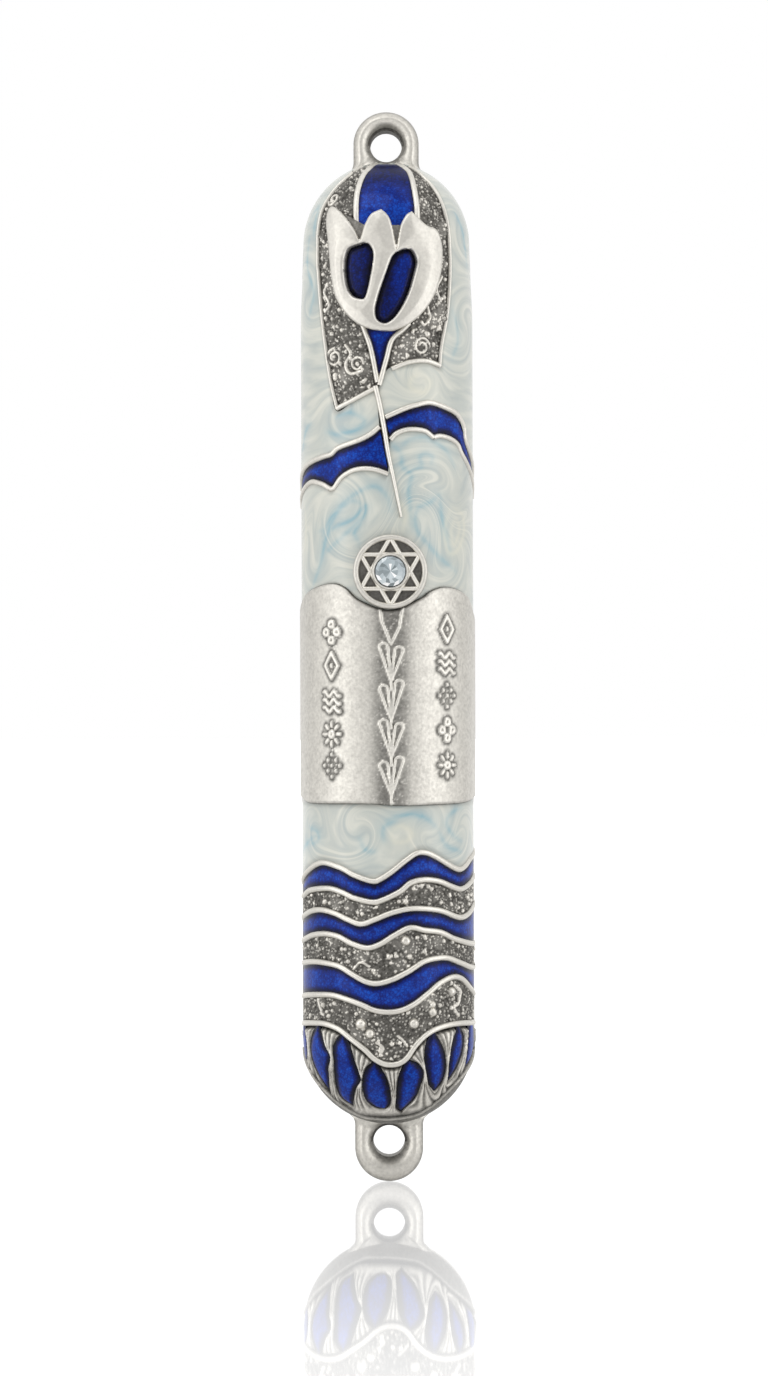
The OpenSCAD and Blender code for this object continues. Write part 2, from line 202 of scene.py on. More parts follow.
def antique_pewter(name, dark, bright, rough, grain=0.02, patina=1.0):
    """Cast pewter, darkened and rubbed back: a value on the piece, partly real rubbing and patina and
    partly painted shade and painted highlight, runs from the dark recesses to the bright high places,
    clouded by noise, with a fine sand-cast grain in the bump."""
    material, shader, node, wire = new_material(name)
    place = node("TexCoord").outputs["Object"]
    wear = node("Attribute", attribute_name="wear").outputs["Fac"]
    cloud = node("TexNoise", {"Vector": place, "Scale": 900, "Detail": 4}).outputs["Fac"]
    speck = node("TexNoise", {"Vector": place, "Scale": 3000, "Detail": 3}).outputs["Fac"]
    shift = node("MapRange", {"Value": cloud, "To Min": -0.1, "To Max": 0.1})
    mixed = node("Math", {0: wear, 1: shift.outputs["Result"]}, operation="ADD").outputs[0]
    fine = node("MapRange", {"Value": speck, "To Min": -0.3 * patina, "To Max": 0.3 * patina})
    mixed = node("Math", {0: mixed, 1: fine.outputs["Result"]}, operation="ADD", use_clamp=True)
    colour = ramp(node, mixed.outputs[0], (0.0, dark), (0.35, tuple(0.35 * c for c in bright)),
                  (0.8, tuple(0.9 * c for c in bright)), (1.0, tuple(1.12 * c for c in bright)))
    wire("Base Color", colour)
    gloss = node("MapRange", {"Value": mixed.outputs[0], "To Min": rough + 0.3, "To Max": rough})
    wire("Roughness", gloss.outputs["Result"])
    bump = node("Bump", {"Height": speck, "Strength": 0.6, "Distance": grain * mm})
    wire("Normal", bump.outputs["Normal"])
    shader.inputs["Metallic"].default_value = 0.92
    return material


cast_pewter = antique_pewter("cast_pewter", (0.02, 0.018, 0.015), (0.7, 0.675, 0.62), 0.4, 0.04, 0.8)


def case_casting():
    """The section's closed loop, out round the front and back along the cavity, carried up the case:
    straight between the domes' centres, then turned about them to each pole. The rebate and cavity
    keep their full width where the front draws in, turned about the centres of the cover's ends."""
    count = 73
    turn = np.radians(np.linspace(-90, 90, count))
    front = np.stack([np.zeros(count), turn, np.full(count, -skirt_d)], -1)
    inside = np.stack([np.full(count, cavity_in), turn[::-1], np.full(count, -skirt_d)], -1)
    side = math.pi / 2
    right = np.array([(0, side, -0.95), (0, side, -0.08), (0.08, side, 0),
                      (rebate_in - 0.06, side, 0), (rebate_in, side, -0.06),
                      (rebate_in, side, -rebate_d), (cavity_in, side, -rebate_d)])
    left = right[::-1] * (1, -1, 1)
    loop = np.concatenate([front, right, inside, left])
    sunk = np.zeros(len(loop))
    sunk[:count] = -bed
    over = np.radians(np.linspace(-90, 90, 61))
    over = np.concatenate([over[:30], np.zeros(21), over[31:]])
    centre = np.concatenate([np.full(30, foot_centre), np.linspace(foot_centre, top_centre, 21),
                             np.full(30, top_centre)])
    inner = loop[:, 0] > rebate_in / 2
    r = np.where(inner, front_r, case_radius(centre)[:, None]) - loop[:, 0] - sunk
    centre = np.where(inner, np.clip(centre, rebate_foot, rebate_top)[:, None], centre[:, None])
    x = r * np.cos(over)[:, None] * np.sin(loop[:, 1])
    y = loop[:, 2] - r * np.cos(over)[:, None] * np.cos(loop[:, 1])
    z = centre + r * np.sin(over)[:, None]
    # The front under the enamel is painted near black, painted shade under the enamel and ridges. The lip
    # points listed as right stay at 0.8, and the cavity and left lip are set to 0.45.
    wear = np.full(x.shape, 0.8)
    wear[:, :count] = 0.05
    wear[:, count + len(right):] = 0.45
    return np.stack([x, y, z], -1), tube_quads(*x.shape), wear


points, quads, wear = case_casting()
casting = make_piece("case_casting", points, quads, cast_pewter, wear=wear)
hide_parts("case_shell")
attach(casting, "case")


# ---------------------------------------------------------------------------------------------
# The two screw ears, cast in one with the case: rings rounded like a bent bar with a bored hole, a
# sunk mouth for the screw's head, and a neck that flares into the dome.
ear_d = 3.0
hole_r = 1.69
mouth_r = 1.97
mouth_d = 0.9
flare_r = 1.5
flare_d = 1.75
ear_set = 0.03


def ear_reach(offset, rim_r, neck_d):
    """The ear's outline about its hole by compass angle: a circle of rim_r set offset mm outward, its
    sides carried straight to flare_d behind the hole, flared by an arc of flare_r, and cut off at
    neck_d behind it."""
    t = np.radians(np.linspace(0, 90, 31))
    circle = np.stack([rim_r * np.sin(t), offset + rim_r * np.cos(t)], -1)
    side = np.stack([np.full(12, rim_r), np.linspace(offset, -flare_d, 13)[1:]], -1)
    t = np.radians(np.linspace(0, 70, 12))
    flare = np.stack([rim_r + flare_r * (1 - np.cos(t)), -flare_d - flare_r * np.sin(t)], -1)[1:]
    end = [[flare[-1, 0], -neck_d], [2.0, -neck_d], [0.0, -neck_d]]
    x, y = np.vstack([circle, side, flare, end]).T
    return np.arctan2(x, y), np.hypot(x, y)


def screw_ear(hole_z, rim_z, rim_r, neck_z, end_z):
    """A ring swept round the hole. Each ray runs from the bore out to the outline, and the face along
    it falls h s^2 below the crown, s from -1 to 1, where h is 0.55 mm on the bore's side and 1.1 mm
    on the outer. No ray runs into the rebate, whose round end has its centre at end_z. The back lies
    ear_set mm in front of the lip's, so that their faces don't share a plane."""
    n_rays = 144
    turn = np.linspace(0, 2 * math.pi, n_rays + 1)[:-1]
    toward = math.copysign(1, hole_z)
    way, far = ear_reach((rim_z - hole_z) * toward, rim_r, abs(hole_z - neck_z))
    reach = np.interp(np.minimum(turn, 2 * math.pi - turn), way, far)
    back, clear_r = abs(hole_z - end_z), front_r - rebate_in + 0.06
    root = clear_r**2 - (back * np.sin(turn)) ** 2
    to_rebate = -back * np.cos(turn) - np.sqrt(np.maximum(root, 0))
    reach = np.where((root > 0) & (np.cos(turn) < 0), np.minimum(reach, to_rebate), reach)
    across = np.linspace(0, 1, 25)
    span = mouth_r + (reach[:, None] - mouth_r) * across
    s = 2 * across - 1
    face = -ear_d + np.where(s < 0, 0.55, 1.1) * s**2 + 0 * span
    lead = np.ones((n_rays, 1))
    bore_r = lead * [hole_r, hole_r, hole_r + 0.06, mouth_r - 0.04]
    bore_y = lead * [-ear_set, -ear_d + mouth_d, -ear_d + 0.85, -ear_d + 0.6]
    edge_r = reach[:, None] + np.array([0.0, -0.05, -0.3])
    edge_y = lead * [-1.6, -0.25, -ear_set]
    r = np.concatenate([bore_r, span, edge_r, bore_r[:, :1]], 1)
    y = np.concatenate([bore_y, face, edge_y, bore_y[:, :1]], 1)
    x = np.sin(turn)[:, None] * r
    z = hole_z + toward * np.cos(turn)[:, None] * r
    # The bore is painted darker on its upper half than on its lower: painted shade where the upper wall
    # faces down.
    painted_shade = 0.2 + 0.25 * (z[:, :1] < hole_z)
    rub = 0.52 + 0.36 * smoothstep((1 - np.abs(s)) * 2) + 0 * span
    wear = np.concatenate([lead * painted_shade * [1, 1, 1, 1.2], rub, lead * [0.5, 0.5, 0.4], lead * 0.1], 1)
    rows = np.arange(n_rays + 1) % n_rays
    return np.stack([x, y, z], -1)[rows], wear[rows]


for ear_name, hole_z, rim_z, rim_r, neck_z, end_z in (
        ("mounting_ear_top", 53.4, 53.6, 3.5, 49.6, rebate_top),
        ("mounting_ear_bottom", -53.4, -54.1, 3.65, -49.8, rebate_foot)):
    points, wear = screw_ear(hole_z, rim_z, rim_r, neck_z, end_z)
    ear = make_piece("screw_" + ear_name.split("_", 1)[1], points, grid_quads(*wear.shape), cast_pewter,
                     wear=wear)
    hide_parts(ear_name)
    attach(ear, "case")


# ---------------------------------------------------------------------------------------------
# The cast ridges: the lines of bare pewter that part the enamel fields, standing on the bed and
# rubbed bright on top. They frame the arch and the window, edge the ribbons and draw the waves.
def smooth_line(points, spacing=0.15):
    """A line through (angle, height) points: each span is the Catmull-Rom cubic of its four nearest
    points, and the result is spaced evenly by length."""
    p = np.array(points, dtype=float)
    before = np.vstack([2 * p[0] - p[1], p, 2 * p[-1] - p[-2]])
    t = np.linspace(0, 1, 16, endpoint=False)[:, None, None]
    a, b, c, d = before[:-3], before[1:-2], before[2:-1], before[3:]
    spans = 0.5 * (2 * b + (c - a) * t + (2 * a - 5 * b + 4 * c - d) * t**2
                   + (3 * b - a - 3 * c + d) * t**3)
    dense = np.vstack([spans.transpose(1, 0, 2).reshape(-1, 2), p[-1:]])
    step = np.diff(dense, axis=0) * (math.radians(front_r), 1)
    length = np.concatenate([[0], np.cumsum(np.hypot(*step.T))])
    even = np.linspace(0, length[-1], max(int(length[-1] / spacing), 4))
    return np.stack([np.interp(even, length, dense[:, k]) for k in (0, 1)], -1)


def lowered(points, drop):
    """The same line, drop mm lower."""
    return [(angle, height - drop) for angle, height in points]


def bead(path, out, half, high, sink):
    """A half-round bead along a path of points with outward normals: across it t runs from 0 to pi,
    half * cos(t) sideways and high * sin(t)^0.75 out, closed sink mm below; both ends shut. Its wear
    runs from foot_wear at the foot to 1 on top."""
    foot_wear = 0.25
    along = np.gradient(path, axis=0)
    side = np.cross(along, out)
    side /= np.linalg.norm(side, axis=1, keepdims=True)
    t = np.linspace(0, math.pi, 11)
    sideways = np.concatenate([[1.0], np.cos(t), [-1.0]])
    outward = np.concatenate([[0.0], np.sin(t) ** 0.75, [0.0]])
    half = np.broadcast_to(np.asarray(half, dtype=float), (len(path),))[:, None, None]
    high = np.broadcast_to(np.asarray(high, dtype=float), (len(path),))[:, None, None]
    low = np.zeros(len(outward))
    low[[0, -1]] = sink
    body = (path[:, None] + side[:, None] * sideways[:, None] * half
            + out[:, None] * (outward[:, None] * high - low[:, None]))
    first = np.broadcast_to(body[:1].mean(1, keepdims=True), body[:1].shape)
    last = np.broadcast_to(body[-1:].mean(1, keepdims=True), body[:1].shape)
    body = np.concatenate([first, body, last])
    wear = foot_wear + (1 - foot_wear) * smoothstep(outward * 1.25 - 0.1)
    return body, np.broadcast_to(wear, body.shape[:2])


def join_grids(parts):
    """Several sets of (points, quads, wear) as one."""
    starts = np.cumsum([0] + [wear.size for _, _, wear in parts[:-1]])
    return (np.concatenate([points.reshape(-1, 3) for points, _, _ in parts]),
            np.concatenate([quads + start for (_, quads, _), start in zip(parts, starts)]),
            np.concatenate([wear.reshape(-1) for _, _, wear in parts]))


def join_tubes(parts):
    """Several tube grids as one set of points, quads and wear."""
    return join_grids([(body, tube_quads(*body.shape[:2]), rub) for body, rub in parts])


def case_bead(points, half, high):
    """A bead along a line on the case, standing 0.4 mm below the skin and sunk 0.1 mm further."""
    line = smooth_line(points)
    path = on_case(*line.T, -0.4)
    return bead(path, on_case(*line.T, 1.0) - on_case(*line.T, 0.0), half, high, 0.1)


arch_left = [(-52, 53.3), (-48, 50.9), (-52.5, 48.2), (-55.6, 46.1), (-55.5, 44.1), (-55.3, 40.5),
             (-53.5, 38.8), (-49.3, 35.1), (-45.3, 31.4), (-40.8, 27.8), (-35.2, 24.6)]
arch_left_foot = [(-35.2, 24.6), (-23, 25.4), (-8.6, 26.5)]
arch_right = [(50, 53.3), (44.7, 50.8), (47, 48.4), (48, 44.5), (49.2, 40), (45, 35), (39.4, 31.3),
              (37.7, 29.1)]
arch_right_foot = [(37.7, 29.1), (26.7, 29.5), (14.7, 29.3), (3.2, 28.6)]
window_left = [(-25, 54), (-24.5, 52), (-25.5, 50.8), (-24.2, 47.7), (-21.9, 44.9), (-20, 42)]
window_right = [(27, 54), (28.5, 52), (28.5, 51.2), (24.4, 48.4), (22.4, 44.9), (20.5, 42)]
point_left = [(-17.5, 33.8), (-14.4, 32.5), (-10.4, 30.6), (-6.2, 27.2)]
point_right = [(15, 33.4), (10.7, 32.7), (3.4, 31.6), (-0.5, 29.5), (-5.0, 26.9)]
ribbon_left_top = [(-98.7, 16.4), (-84.7, 17.8), (-68.5, 18.8), (-48.6, 19.45), (-40.1, 19.7),
                   (-34.3, 20.3), (-19.4, 21.0), (-11.2, 21.6), (-4.9, 22.4)]
ribbon_left_low = [(-98.7, 14.9), (-79.1, 16.4), (-66.7, 17.1), (-59.1, 17.3), (-48.7, 16.95),
                   (-41.1, 16.4)]
ribbon_left_low_in = [(-41.1, 16.4), (-37.7, 16.5), (-32, 17.5), (-23.7, 18.2), (-15.3, 18.4),
                      (-7.3, 18.25), (0.7, 17.8)]
ribbon_right_top = [(-1.0, 23.4), (5.3, 23.85), (11.9, 24.3), (18.7, 24.65), (29.6, 25.0),
                    (41.9, 24.6), (51.8, 24.15), (57.7, 23.6), (63.2, 22.7), (68.3, 20.9), (98.7, 17.4)]
ribbon_right_low = [(32.2, 21.7), (37.5, 21.9), (46.5, 21.7), (55.1, 21.1), (63.1, 19.8), (98.7, 15.9)]
ribbon_right_low_in = [(2.2, 21.4), (5.9, 22.0), (11.9, 22.4), (18.7, 22.5), (25.8, 22.35), (29.5, 22.0),
                       (32.2, 21.7)]
waves = [
    [(-98.7, -25.4), (-84, -24.8), (-69, -23.9), (-56.8, -23.15), (-46.9, -22.9), (-32.9, -23.4),
     (-23.2, -24.1), (-10.8, -24.7), (-5.5, -24.5), (2.3, -23.7), (11, -22.6), (19.1, -21.8),
     (26.3, -21.8), (33.9, -22.3), (45.2, -23.2), (54.7, -23.7), (62.7, -23.45), (74.4, -22.65),
     (98.7, -21.9)],
    [(-98.7, -26.9), (-80, -26.6), (-67.2, -26), (-54.4, -25.7), (-42.2, -25.6), (-32.2, -25.95),
     (-23.3, -26.5), (-10.9, -26.9), (-4.3, -26.7), (7.6, -25.8), (14.9, -24.9), (24.8, -24.6),
     (36.3, -24.85), (47.1, -25.45), (57.1, -25.8), (67.6, -25.5), (84, -24.8), (98.7, -24.6)],
    [(-98.7, -29.3), (-78, -28.7), (-62.4, -28.1), (-50.1, -27.9), (-37.9, -28.2), (-27.7, -28.8),
     (-18.4, -29.2), (-8.9, -28.7), (2.3, -28), (14.9, -27.6), (28.4, -27.7), (38.8, -28),
     (51.1, -28.65), (59.6, -28.8), (69.4, -28.5), (84, -27.8), (98.7, -27.5)],
    [(-98.7, -31.8), (-76, -31.2), (-61.1, -30.65), (-47.1, -30.4), (-35.5, -30.6), (-24.8, -31.3),
     (-14.3, -31.7), (-5.7, -31.3), (3.5, -30.4), (14.2, -29.6), (24.6, -29.9), (37, -30.2), (50, -31),
     (67.3, -31.6), (84, -31.9), (98.7, -31.9)],
    [(-98.7, -34.1), (-80, -33.8), (-63, -33.5), (-50.3, -33.45), (-35.6, -33.7), (-24.9, -34.5),
     (-15.8, -35.2), (-7.7, -35.4), (2.1, -35), (12.7, -34.2), (23.8, -33.2), (33.7, -32.9),
     (43.1, -32.95), (55.5, -33.55), (71.1, -34.2), (85, -34.4), (98.7, -34.4)],
    [(-98.7, -37.7), (-74, -37.2), (-55, -36.9), (-40.8, -36.8), (-30.2, -37.1), (-19.3, -37.6),
     (-9.8, -38.2), (-0.6, -38.4), (8.7, -38.2), (18.2, -37.5), (28.2, -36.4), (36.9, -35.5),
     (47.8, -35), (58, -35.3), (71.2, -36.4), (85, -37.2), (98.7, -37.4)],
    [(-98.7, -40.6), (-76, -40.2), (-59.2, -39.95), (-47.7, -39.9), (-36, -40.3), (-26.6, -41.2),
     (-16.7, -42.3), (-10, -43.3), (-2.7, -43.9), (5.4, -43.9), (11.7, -43.3), (18.1, -41.9),
     (25.3, -40.9), (33.7, -40.3), (45, -40), (58.2, -40), (74.1, -40.2), (98.7, -40.5)]]

frames = [case_bead(line, half=0.22, high=0.46) for line in (arch_left, arch_right)]
frames += [case_bead(line, half=0.3, high=0.55) for line in (arch_left_foot, arch_right_foot)]
frames += [case_bead(line, half=0.36, high=0.52) for line in (window_left, window_right)]
frames += [case_bead(line, half=0.31, high=0.55) for line in (point_left, point_right)]
ribbon_edges = [case_bead(lowered(line, -0.16), half=0.32, high=0.52)
                for line in (ribbon_left_top, ribbon_right_top)]
ribbon_edges += [case_bead(lowered(line, 0.2), half=0.31, high=0.52) for line in
                 (ribbon_left_low, ribbon_left_low_in, ribbon_right_low, ribbon_right_low_in)]
wave_edges = [case_bead(lowered(line, 0.26), half=0.34, high=0.52) for line in waves]
for ridge_name, parts in (("arch_frames", frames), ("ribbon_edges", ribbon_edges),
                          ("wave_ridges", wave_edges)):
    points, quads, wear = join_tubes(parts)
    ridge = make_piece(ridge_name, points, quads, cast_pewter, wear=wear)
    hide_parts("case_shell")
    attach(ridge, "case")


# ---------------------------------------------------------------------------------------------
# The granulated grounds: pewter cast with scattered little balls and curls of wire, then darkened,
# inside the arch and in three strips between the waves.
ground_pewter = antique_pewter("ground_pewter", (0.02, 0.018, 0.015), (0.74, 0.71, 0.65), 0.34, 0.04, 0.8)
ground_level = -0.25
ground_floor = -0.6


def sheet_between(first, second, spacing):
    """A grid of (angle, height) ruled between two lines, with each point's distance to the nearer
    line in mm."""
    first, second = (smooth_line(line, spacing) for line in (first, second))
    count = max(len(first), len(second))
    first, second = (line[np.linspace(0, len(line) - 1, count).round().astype(int)]
                     for line in (first, second))
    gap = (second - first) * (math.radians(front_r), 1)
    width = np.hypot(*gap.T)
    across = np.linspace(0, 1, max(int(width.max() / spacing), 4) + 1)[:, None]
    grid = first + (second - first) * across[..., None]
    rim = np.minimum(across, 1 - across) * width
    return grid[..., 0], grid[..., 1], rim


def closed_plate(top, bottom):
    """The points and quads of a plate: two grids of points joined by a wall round their edges."""
    rows, cols = top.shape[:2]
    face = grid_quads(rows, cols)
    under = face[:, ::-1] + rows * cols
    n = np.arange(rows * cols).reshape(rows, cols)
    edge = np.concatenate([n[0], n[1:, -1], n[-1, -2::-1], n[-2::-1, 0]])
    wall = np.stack([edge[1:], edge[:-1], edge[:-1] + rows * cols, edge[1:] + rows * cols], -1)
    return np.stack([top, bottom]), np.concatenate([face, under, wall])


def case_plate(angle, height, lift, floor):
    """The points and quads of a plate on the case, whose top stands lift mm and whose underside
    stands floor mm out from the skin."""
    return closed_plate(on_case(angle, height, lift), on_case(angle, height, floor))


def granules(points, cell, small, large, share, seed):
    """Height of balls cast on the ground: a cubic lattice holds a ball in each cell, moved at random
    and kept with probability share; a point stands sqrt(r^2 - d^2) high, d from the ball's centre."""
    table = np.random.default_rng(seed).random((24, 24, 24, 5))
    cube = np.floor(points / cell).astype(int)
    high = np.zeros(points.shape[:-1])
    for step in itertools.product((-1, 0, 1), repeat=3):
        place = cube + step
        draw = table[tuple(np.moveaxis(place % 24, -1, 0))]
        centre = (place + 0.5 + 0.8 * (draw[..., :3] - 0.5)) * cell
        r = small + (large - small) * draw[..., 3] ** 2
        r = np.where(draw[..., 4] < share, r, 0)
        high = np.maximum(high, np.sqrt(np.maximum(r**2 - ((points - centre) ** 2).sum(-1), 0)))
    return high


def domes(points, places):
    """Height of listed balls, each given as (angle, height, radius)."""
    high = np.zeros(points.shape[:-1])
    for angle, height, r in places:
        centre = on_case(np.float64(angle), np.float64(height))
        high = np.maximum(high, np.sqrt(np.maximum(r**2 - ((points - centre) ** 2).sum(-1), 0)))
    return high


def laid_wire(points, line, r):
    """Height of a round wire laid along a line: sqrt(r^2 - d^2), d to the nearest of its points."""
    path = on_case(*smooth_line(line, 0.07).T)
    d2 = np.full(points.shape[:-1], 9.0)
    for place in path:
        d2 = np.minimum(d2, ((points - place) ** 2).sum(-1))
    return np.sqrt(np.maximum(r**2 - d2, 0))


def curl(angle, height, r_out, r_in, start, turns):
    """A spiral round a centre, its radius falling evenly from r_out to r_in mm."""
    t = np.linspace(0, 1, 18)
    turn = math.radians(start) + turns * 2 * math.pi * t
    r = r_out + (r_in - r_out) * t
    return np.stack([angle + np.degrees(r * np.cos(turn) / front_r), height + r * np.sin(turn)], -1)


def ground(name, first, second, balls, wires, seed):
    """A granulated sheet between two lines: lattice balls of two sizes, set balls and laid wires over
    a gently rolling ground, its wear taken from the height above that ground."""
    angle, height, rim = sheet_between(first, second, 0.078)
    skin = on_case(angle, height)
    fine = granules(skin, 0.34, 0.1, 0.17, 0.95, seed + 1)
    relief = np.maximum(granules(skin, 0.6, 0.14, 0.27, 0.62, seed), domes(skin, balls))
    for line, r in wires:
        relief = np.maximum(relief, laid_wire(skin, line, r * 1.3) * 1.2)
    roll = granules(skin, 1.7, 0.5, 1.2, 0.9, seed + 2) * 0.12
    lift = ground_level + np.maximum(relief, fine) + roll
    points, quads = case_plate(angle, height, lift, ground_floor)
    rub = (0.16 + 1.4 * roll + (0.4 + 1.5 * roll) * smoothstep(fine / 0.09)
           + 0.65 * smoothstep(relief / 0.16))
    rub = rub * (0.3 + 0.7 * smoothstep((rim - 0.2) / 0.35))
    wear = np.stack([rub, np.full(rub.shape, 0.1)])
    piece = make_piece(name, points, quads, ground_pewter, sharp=75, wear=wear)
    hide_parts("case_shell")
    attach(piece, "case")


panel_left_inner = [(-25.5, 53.3), (-26, 50.8), (-24.5, 47.7), (-23.5, 44.9), (-31, 42.6), (-31, 36.2),
                    (-17.5, 33.8), (-14.8, 32.5), (-10.8, 30.6), (-6.8, 27.2), (-8.6, 26.5)]
panel_right_inner = [(27.5, 53.3), (28.7, 51.2), (24.6, 48.4), (22.6, 44.9), (20, 38), (15.4, 33.4),
                     (11.1, 32.7), (4, 31.6), (0, 29.5), (3.2, 28.6)]
ground("arch_ground_left", arch_left, panel_left_inner,
       [(-47.3, 39.7, 0.26), (-49.2, 38.9, 0.24), (-46.6, 37.2, 0.24), (-46.5, 36.4, 0.24),
        (-45.2, 34.2, 0.26), (-39.8, 32.5, 0.26), (-31.6, 32.8, 0.24), (-20, 29.2, 0.26),
        (-15.8, 27.3, 0.27), (-36.5, 28.1, 0.3)],
       [(curl(-37.3, 30.0, 1.0, 0.35, 90, 1.35), 0.12),
        ([(-28.6, 31.2), (-24.9, 30.3), (-28.6, 29.2), (-25, 28.2), (-17, 28.4)], 0.14),
        (curl(-20, 29.2, 0.7, 0.55, 0, 0.9), 0.11), (curl(-47, 47.2, 0.8, 0.3, 200, 1.3), 0.12),
        ([(-44, 37.8), (-47, 36.9), (-42, 35.6), (-46, 34.9)], 0.13)], 11)
ground("arch_ground_right", panel_right_inner, arch_right,
       [(36.9, 33, 0.3), (10, 31, 0.24), (17.5, 32.5, 0.22), (32.8, 31.3, 0.24), (14, 30, 0.26),
        (35.2, 30.1, 0.2), (28.2, 32.3, 0.34), (37.1, 35.7, 0.24), (39.7, 39.5, 0.22)],
       [(curl(24, 31.0, 0.95, 0.35, 20, 1.35), 0.12),
        ([(28.3, 35.2), (29.8, 34.1), (26, 33.3), (23.8, 33.6)], 0.14),
        ([(41, 38.5), (36, 37.2), (39, 35.9)], 0.13)], 23)
strip_balls = [
    [(-48, -27.3, 0.3), (-43.2, -27.4, 0.24), (-35.4, -26.5, 0.24), (11.5, -27.1, 0.34), (6.9, -27.1, 0.26),
     (27.7, -25.6, 0.26), (22.6, -25.6, 0.22), (17, -25.8, 0.22), (-8.2, -27.7, 0.22), (37.9, -27.3, 0.24),
     (47, -27.6, 0.24)],
    [(11.4, -31.2, 0.52), (24.6, -30.8, 0.25), (19.6, -30.9, 0.24), (39.5, -31.4, 0.25), (4.8, -32.8, 0.26),
     (0.2, -32.9, 0.3), (14.1, -32.9, 0.3), (24.6, -32.4, 0.28), (-45.2, -31.2, 0.26), (-57.1, -31.3, 0.24),
     (-10.4, -34.3, 0.24)],
    [(-12.6, -40.9, 0.52), (-18.7, -39.9, 0.6), (16.8, -39.9, 0.58), (30.5, -38.8, 0.48),
     (30.5, -38.0, 0.34), (46.9, -36.8, 0.5), (-49.6, -38.2, 0.28), (-66.8, -39.5, 0.26),
     (-44.7, -39.3, 0.26), (2, -42, 0.28), (-5.9, -42.7, 0.26), (7.3, -41.9, 0.25), (46.9, -38.5, 0.28),
     (-22.2, -38.9, 0.25), (-39.2, -37.9, 0.26)]]
strip_wires = [
    [], [([(-24, -34.2), (-19, -33.5), (-13, -33.9)], 0.12)],
    [([(50, -36.2), (56, -36.9), (54, -38.1), (49, -38.5), (54, -39.4)], 0.16),
     ([(-55, -37.6), (-53, -38.3), (-51, -39.2)], 0.13), ([(-8, -41.9), (-4, -42.4), (-6, -43.2)], 0.13),
     ([(6, -41.2), (9, -41.6), (12, -42.2)], 0.13)]]
for k in range(3):
    ground(f"granulated_strip_{k + 1}", lowered(waves[2 * k + 1], 0.25), lowered(waves[2 * k + 2], 0.25),
           strip_balls[k], strip_wires[k], 31 + 10 * k)


# ---------------------------------------------------------------------------------------------
# The fringe over the lower dome: cast tassels that stand between eight drop-shaped cells, each
# grooved along its length, inside the plain flange that edges the dome at the wall side.
# Each cell is a left and a right side, from its top down to its tip, as (angle, height).
fringe_cells = [
    ([(-90, -40.6), (-97, -42), (-98, -43.5), (-92, -45.2)],
     [(-80, -40.6), (-71, -42.4), (-73, -44), (-92, -45.2)]),
    ([(-58, -40.4), (-66, -42), (-68, -43.7), (-65, -45.6), (-57, -48.2)],
     [(-53, -40.6), (-48, -42.5), (-43, -43.6), (-47, -45), (-50, -46.4), (-57, -48.2)]),
    ([(-33, -40.9), (-40, -42.4), (-41, -44.5), (-45, -47), (-47, -48.8), (-38, -50)],
     [(-31, -41), (-26, -42.5), (-24, -44.1), (-21, -45.9), (-27, -47.2), (-38, -50)]),
    ([(-10.8, -43.9), (-17, -45), (-20.5, -47), (-20, -49), (-13, -50.1), (-3.8, -50.2)],
     [(-7.8, -44.1), (-3.5, -45.3), (-0.5, -46.7), (1, -48.4), (0, -49.6), (-3.8, -50.2)]),
    ([(12, -43.8), (7.5, -45.2), (6.5, -47), (6.5, -48.9), (7.5, -50.2), (13, -50.8)],
     [(14.5, -43.8), (20.5, -44.3), (24.5, -45.2), (24.5, -46.5), (22, -48.8), (13, -50.8)]),
    ([(29.2, -40.9), (25, -42.3), (25, -44), (28, -45.6), (32, -46.8), (39.2, -47.7)],
     [(31.8, -40.9), (36.5, -42), (40.5, -43.2), (43.5, -45), (43.5, -46.6), (39.2, -47.7)]),
    ([(52, -40.5), (47, -42.4), (45, -43.8), (46, -45.2), (49, -46.8)],
     [(56, -40.5), (61, -41.7), (60, -43.2), (56, -45), (49, -46.8)]),
    ([(68, -40.5), (65.5, -42.3), (65, -43.9), (67, -45.5)],
     [(82, -40.7), (87, -42.5), (81, -44.3), (67, -45.5)])]
flange_line = [(-98.7, -43.2), (-83.8, -44.6), (-73.4, -46.3), (-62.1, -48), (-53.6, -49.7), (-44, -51.1),
               (-33.5, -51.9), (-15.4, -52.1), (2.6, -52.1), (20.8, -51.8), (36.4, -51.2),
               (46, -49.8), (56.2, -47.4), (68, -45.9), (84, -44.3), (98.7, -43.2)]


def flat_chart(angle, height):
    """The dome laid out flat, in mm: width along the ring at that height, and the height itself."""
    r = case_radius(height)
    return np.radians(angle) * r * np.cos(dome_angle(height, r, 1.5)), height


def outline_distance(angle, height, outline):
    """Signed distance in mm to a closed outline, positive inside: the least distance to its sides,
    its sign from the number of sides that a level ray crosses."""
    x, y = flat_chart(angle, height)
    px, py = flat_chart(*np.asarray(outline, dtype=float).T)
    best = np.full(x.shape, 1e9)
    inside = np.zeros(x.shape, dtype=bool)
    for x0, y0, x1, y1 in zip(px, py, np.roll(px, -1), np.roll(py, -1)):
        dx, dy = x1 - x0, y1 - y0
        t = np.clip(((x - x0) * dx + (y - y0) * dy) / max(dx * dx + dy * dy, 1e-12), 0, 1)
        best = np.minimum(best, np.hypot(x - x0 - t * dx, y - y0 - t * dy))
        if y0 != y1:
            inside ^= ((y0 > y) != (y1 > y)) & (x < x0 + (y - y0) * dx / dy)
    return np.where(inside, best, -best)


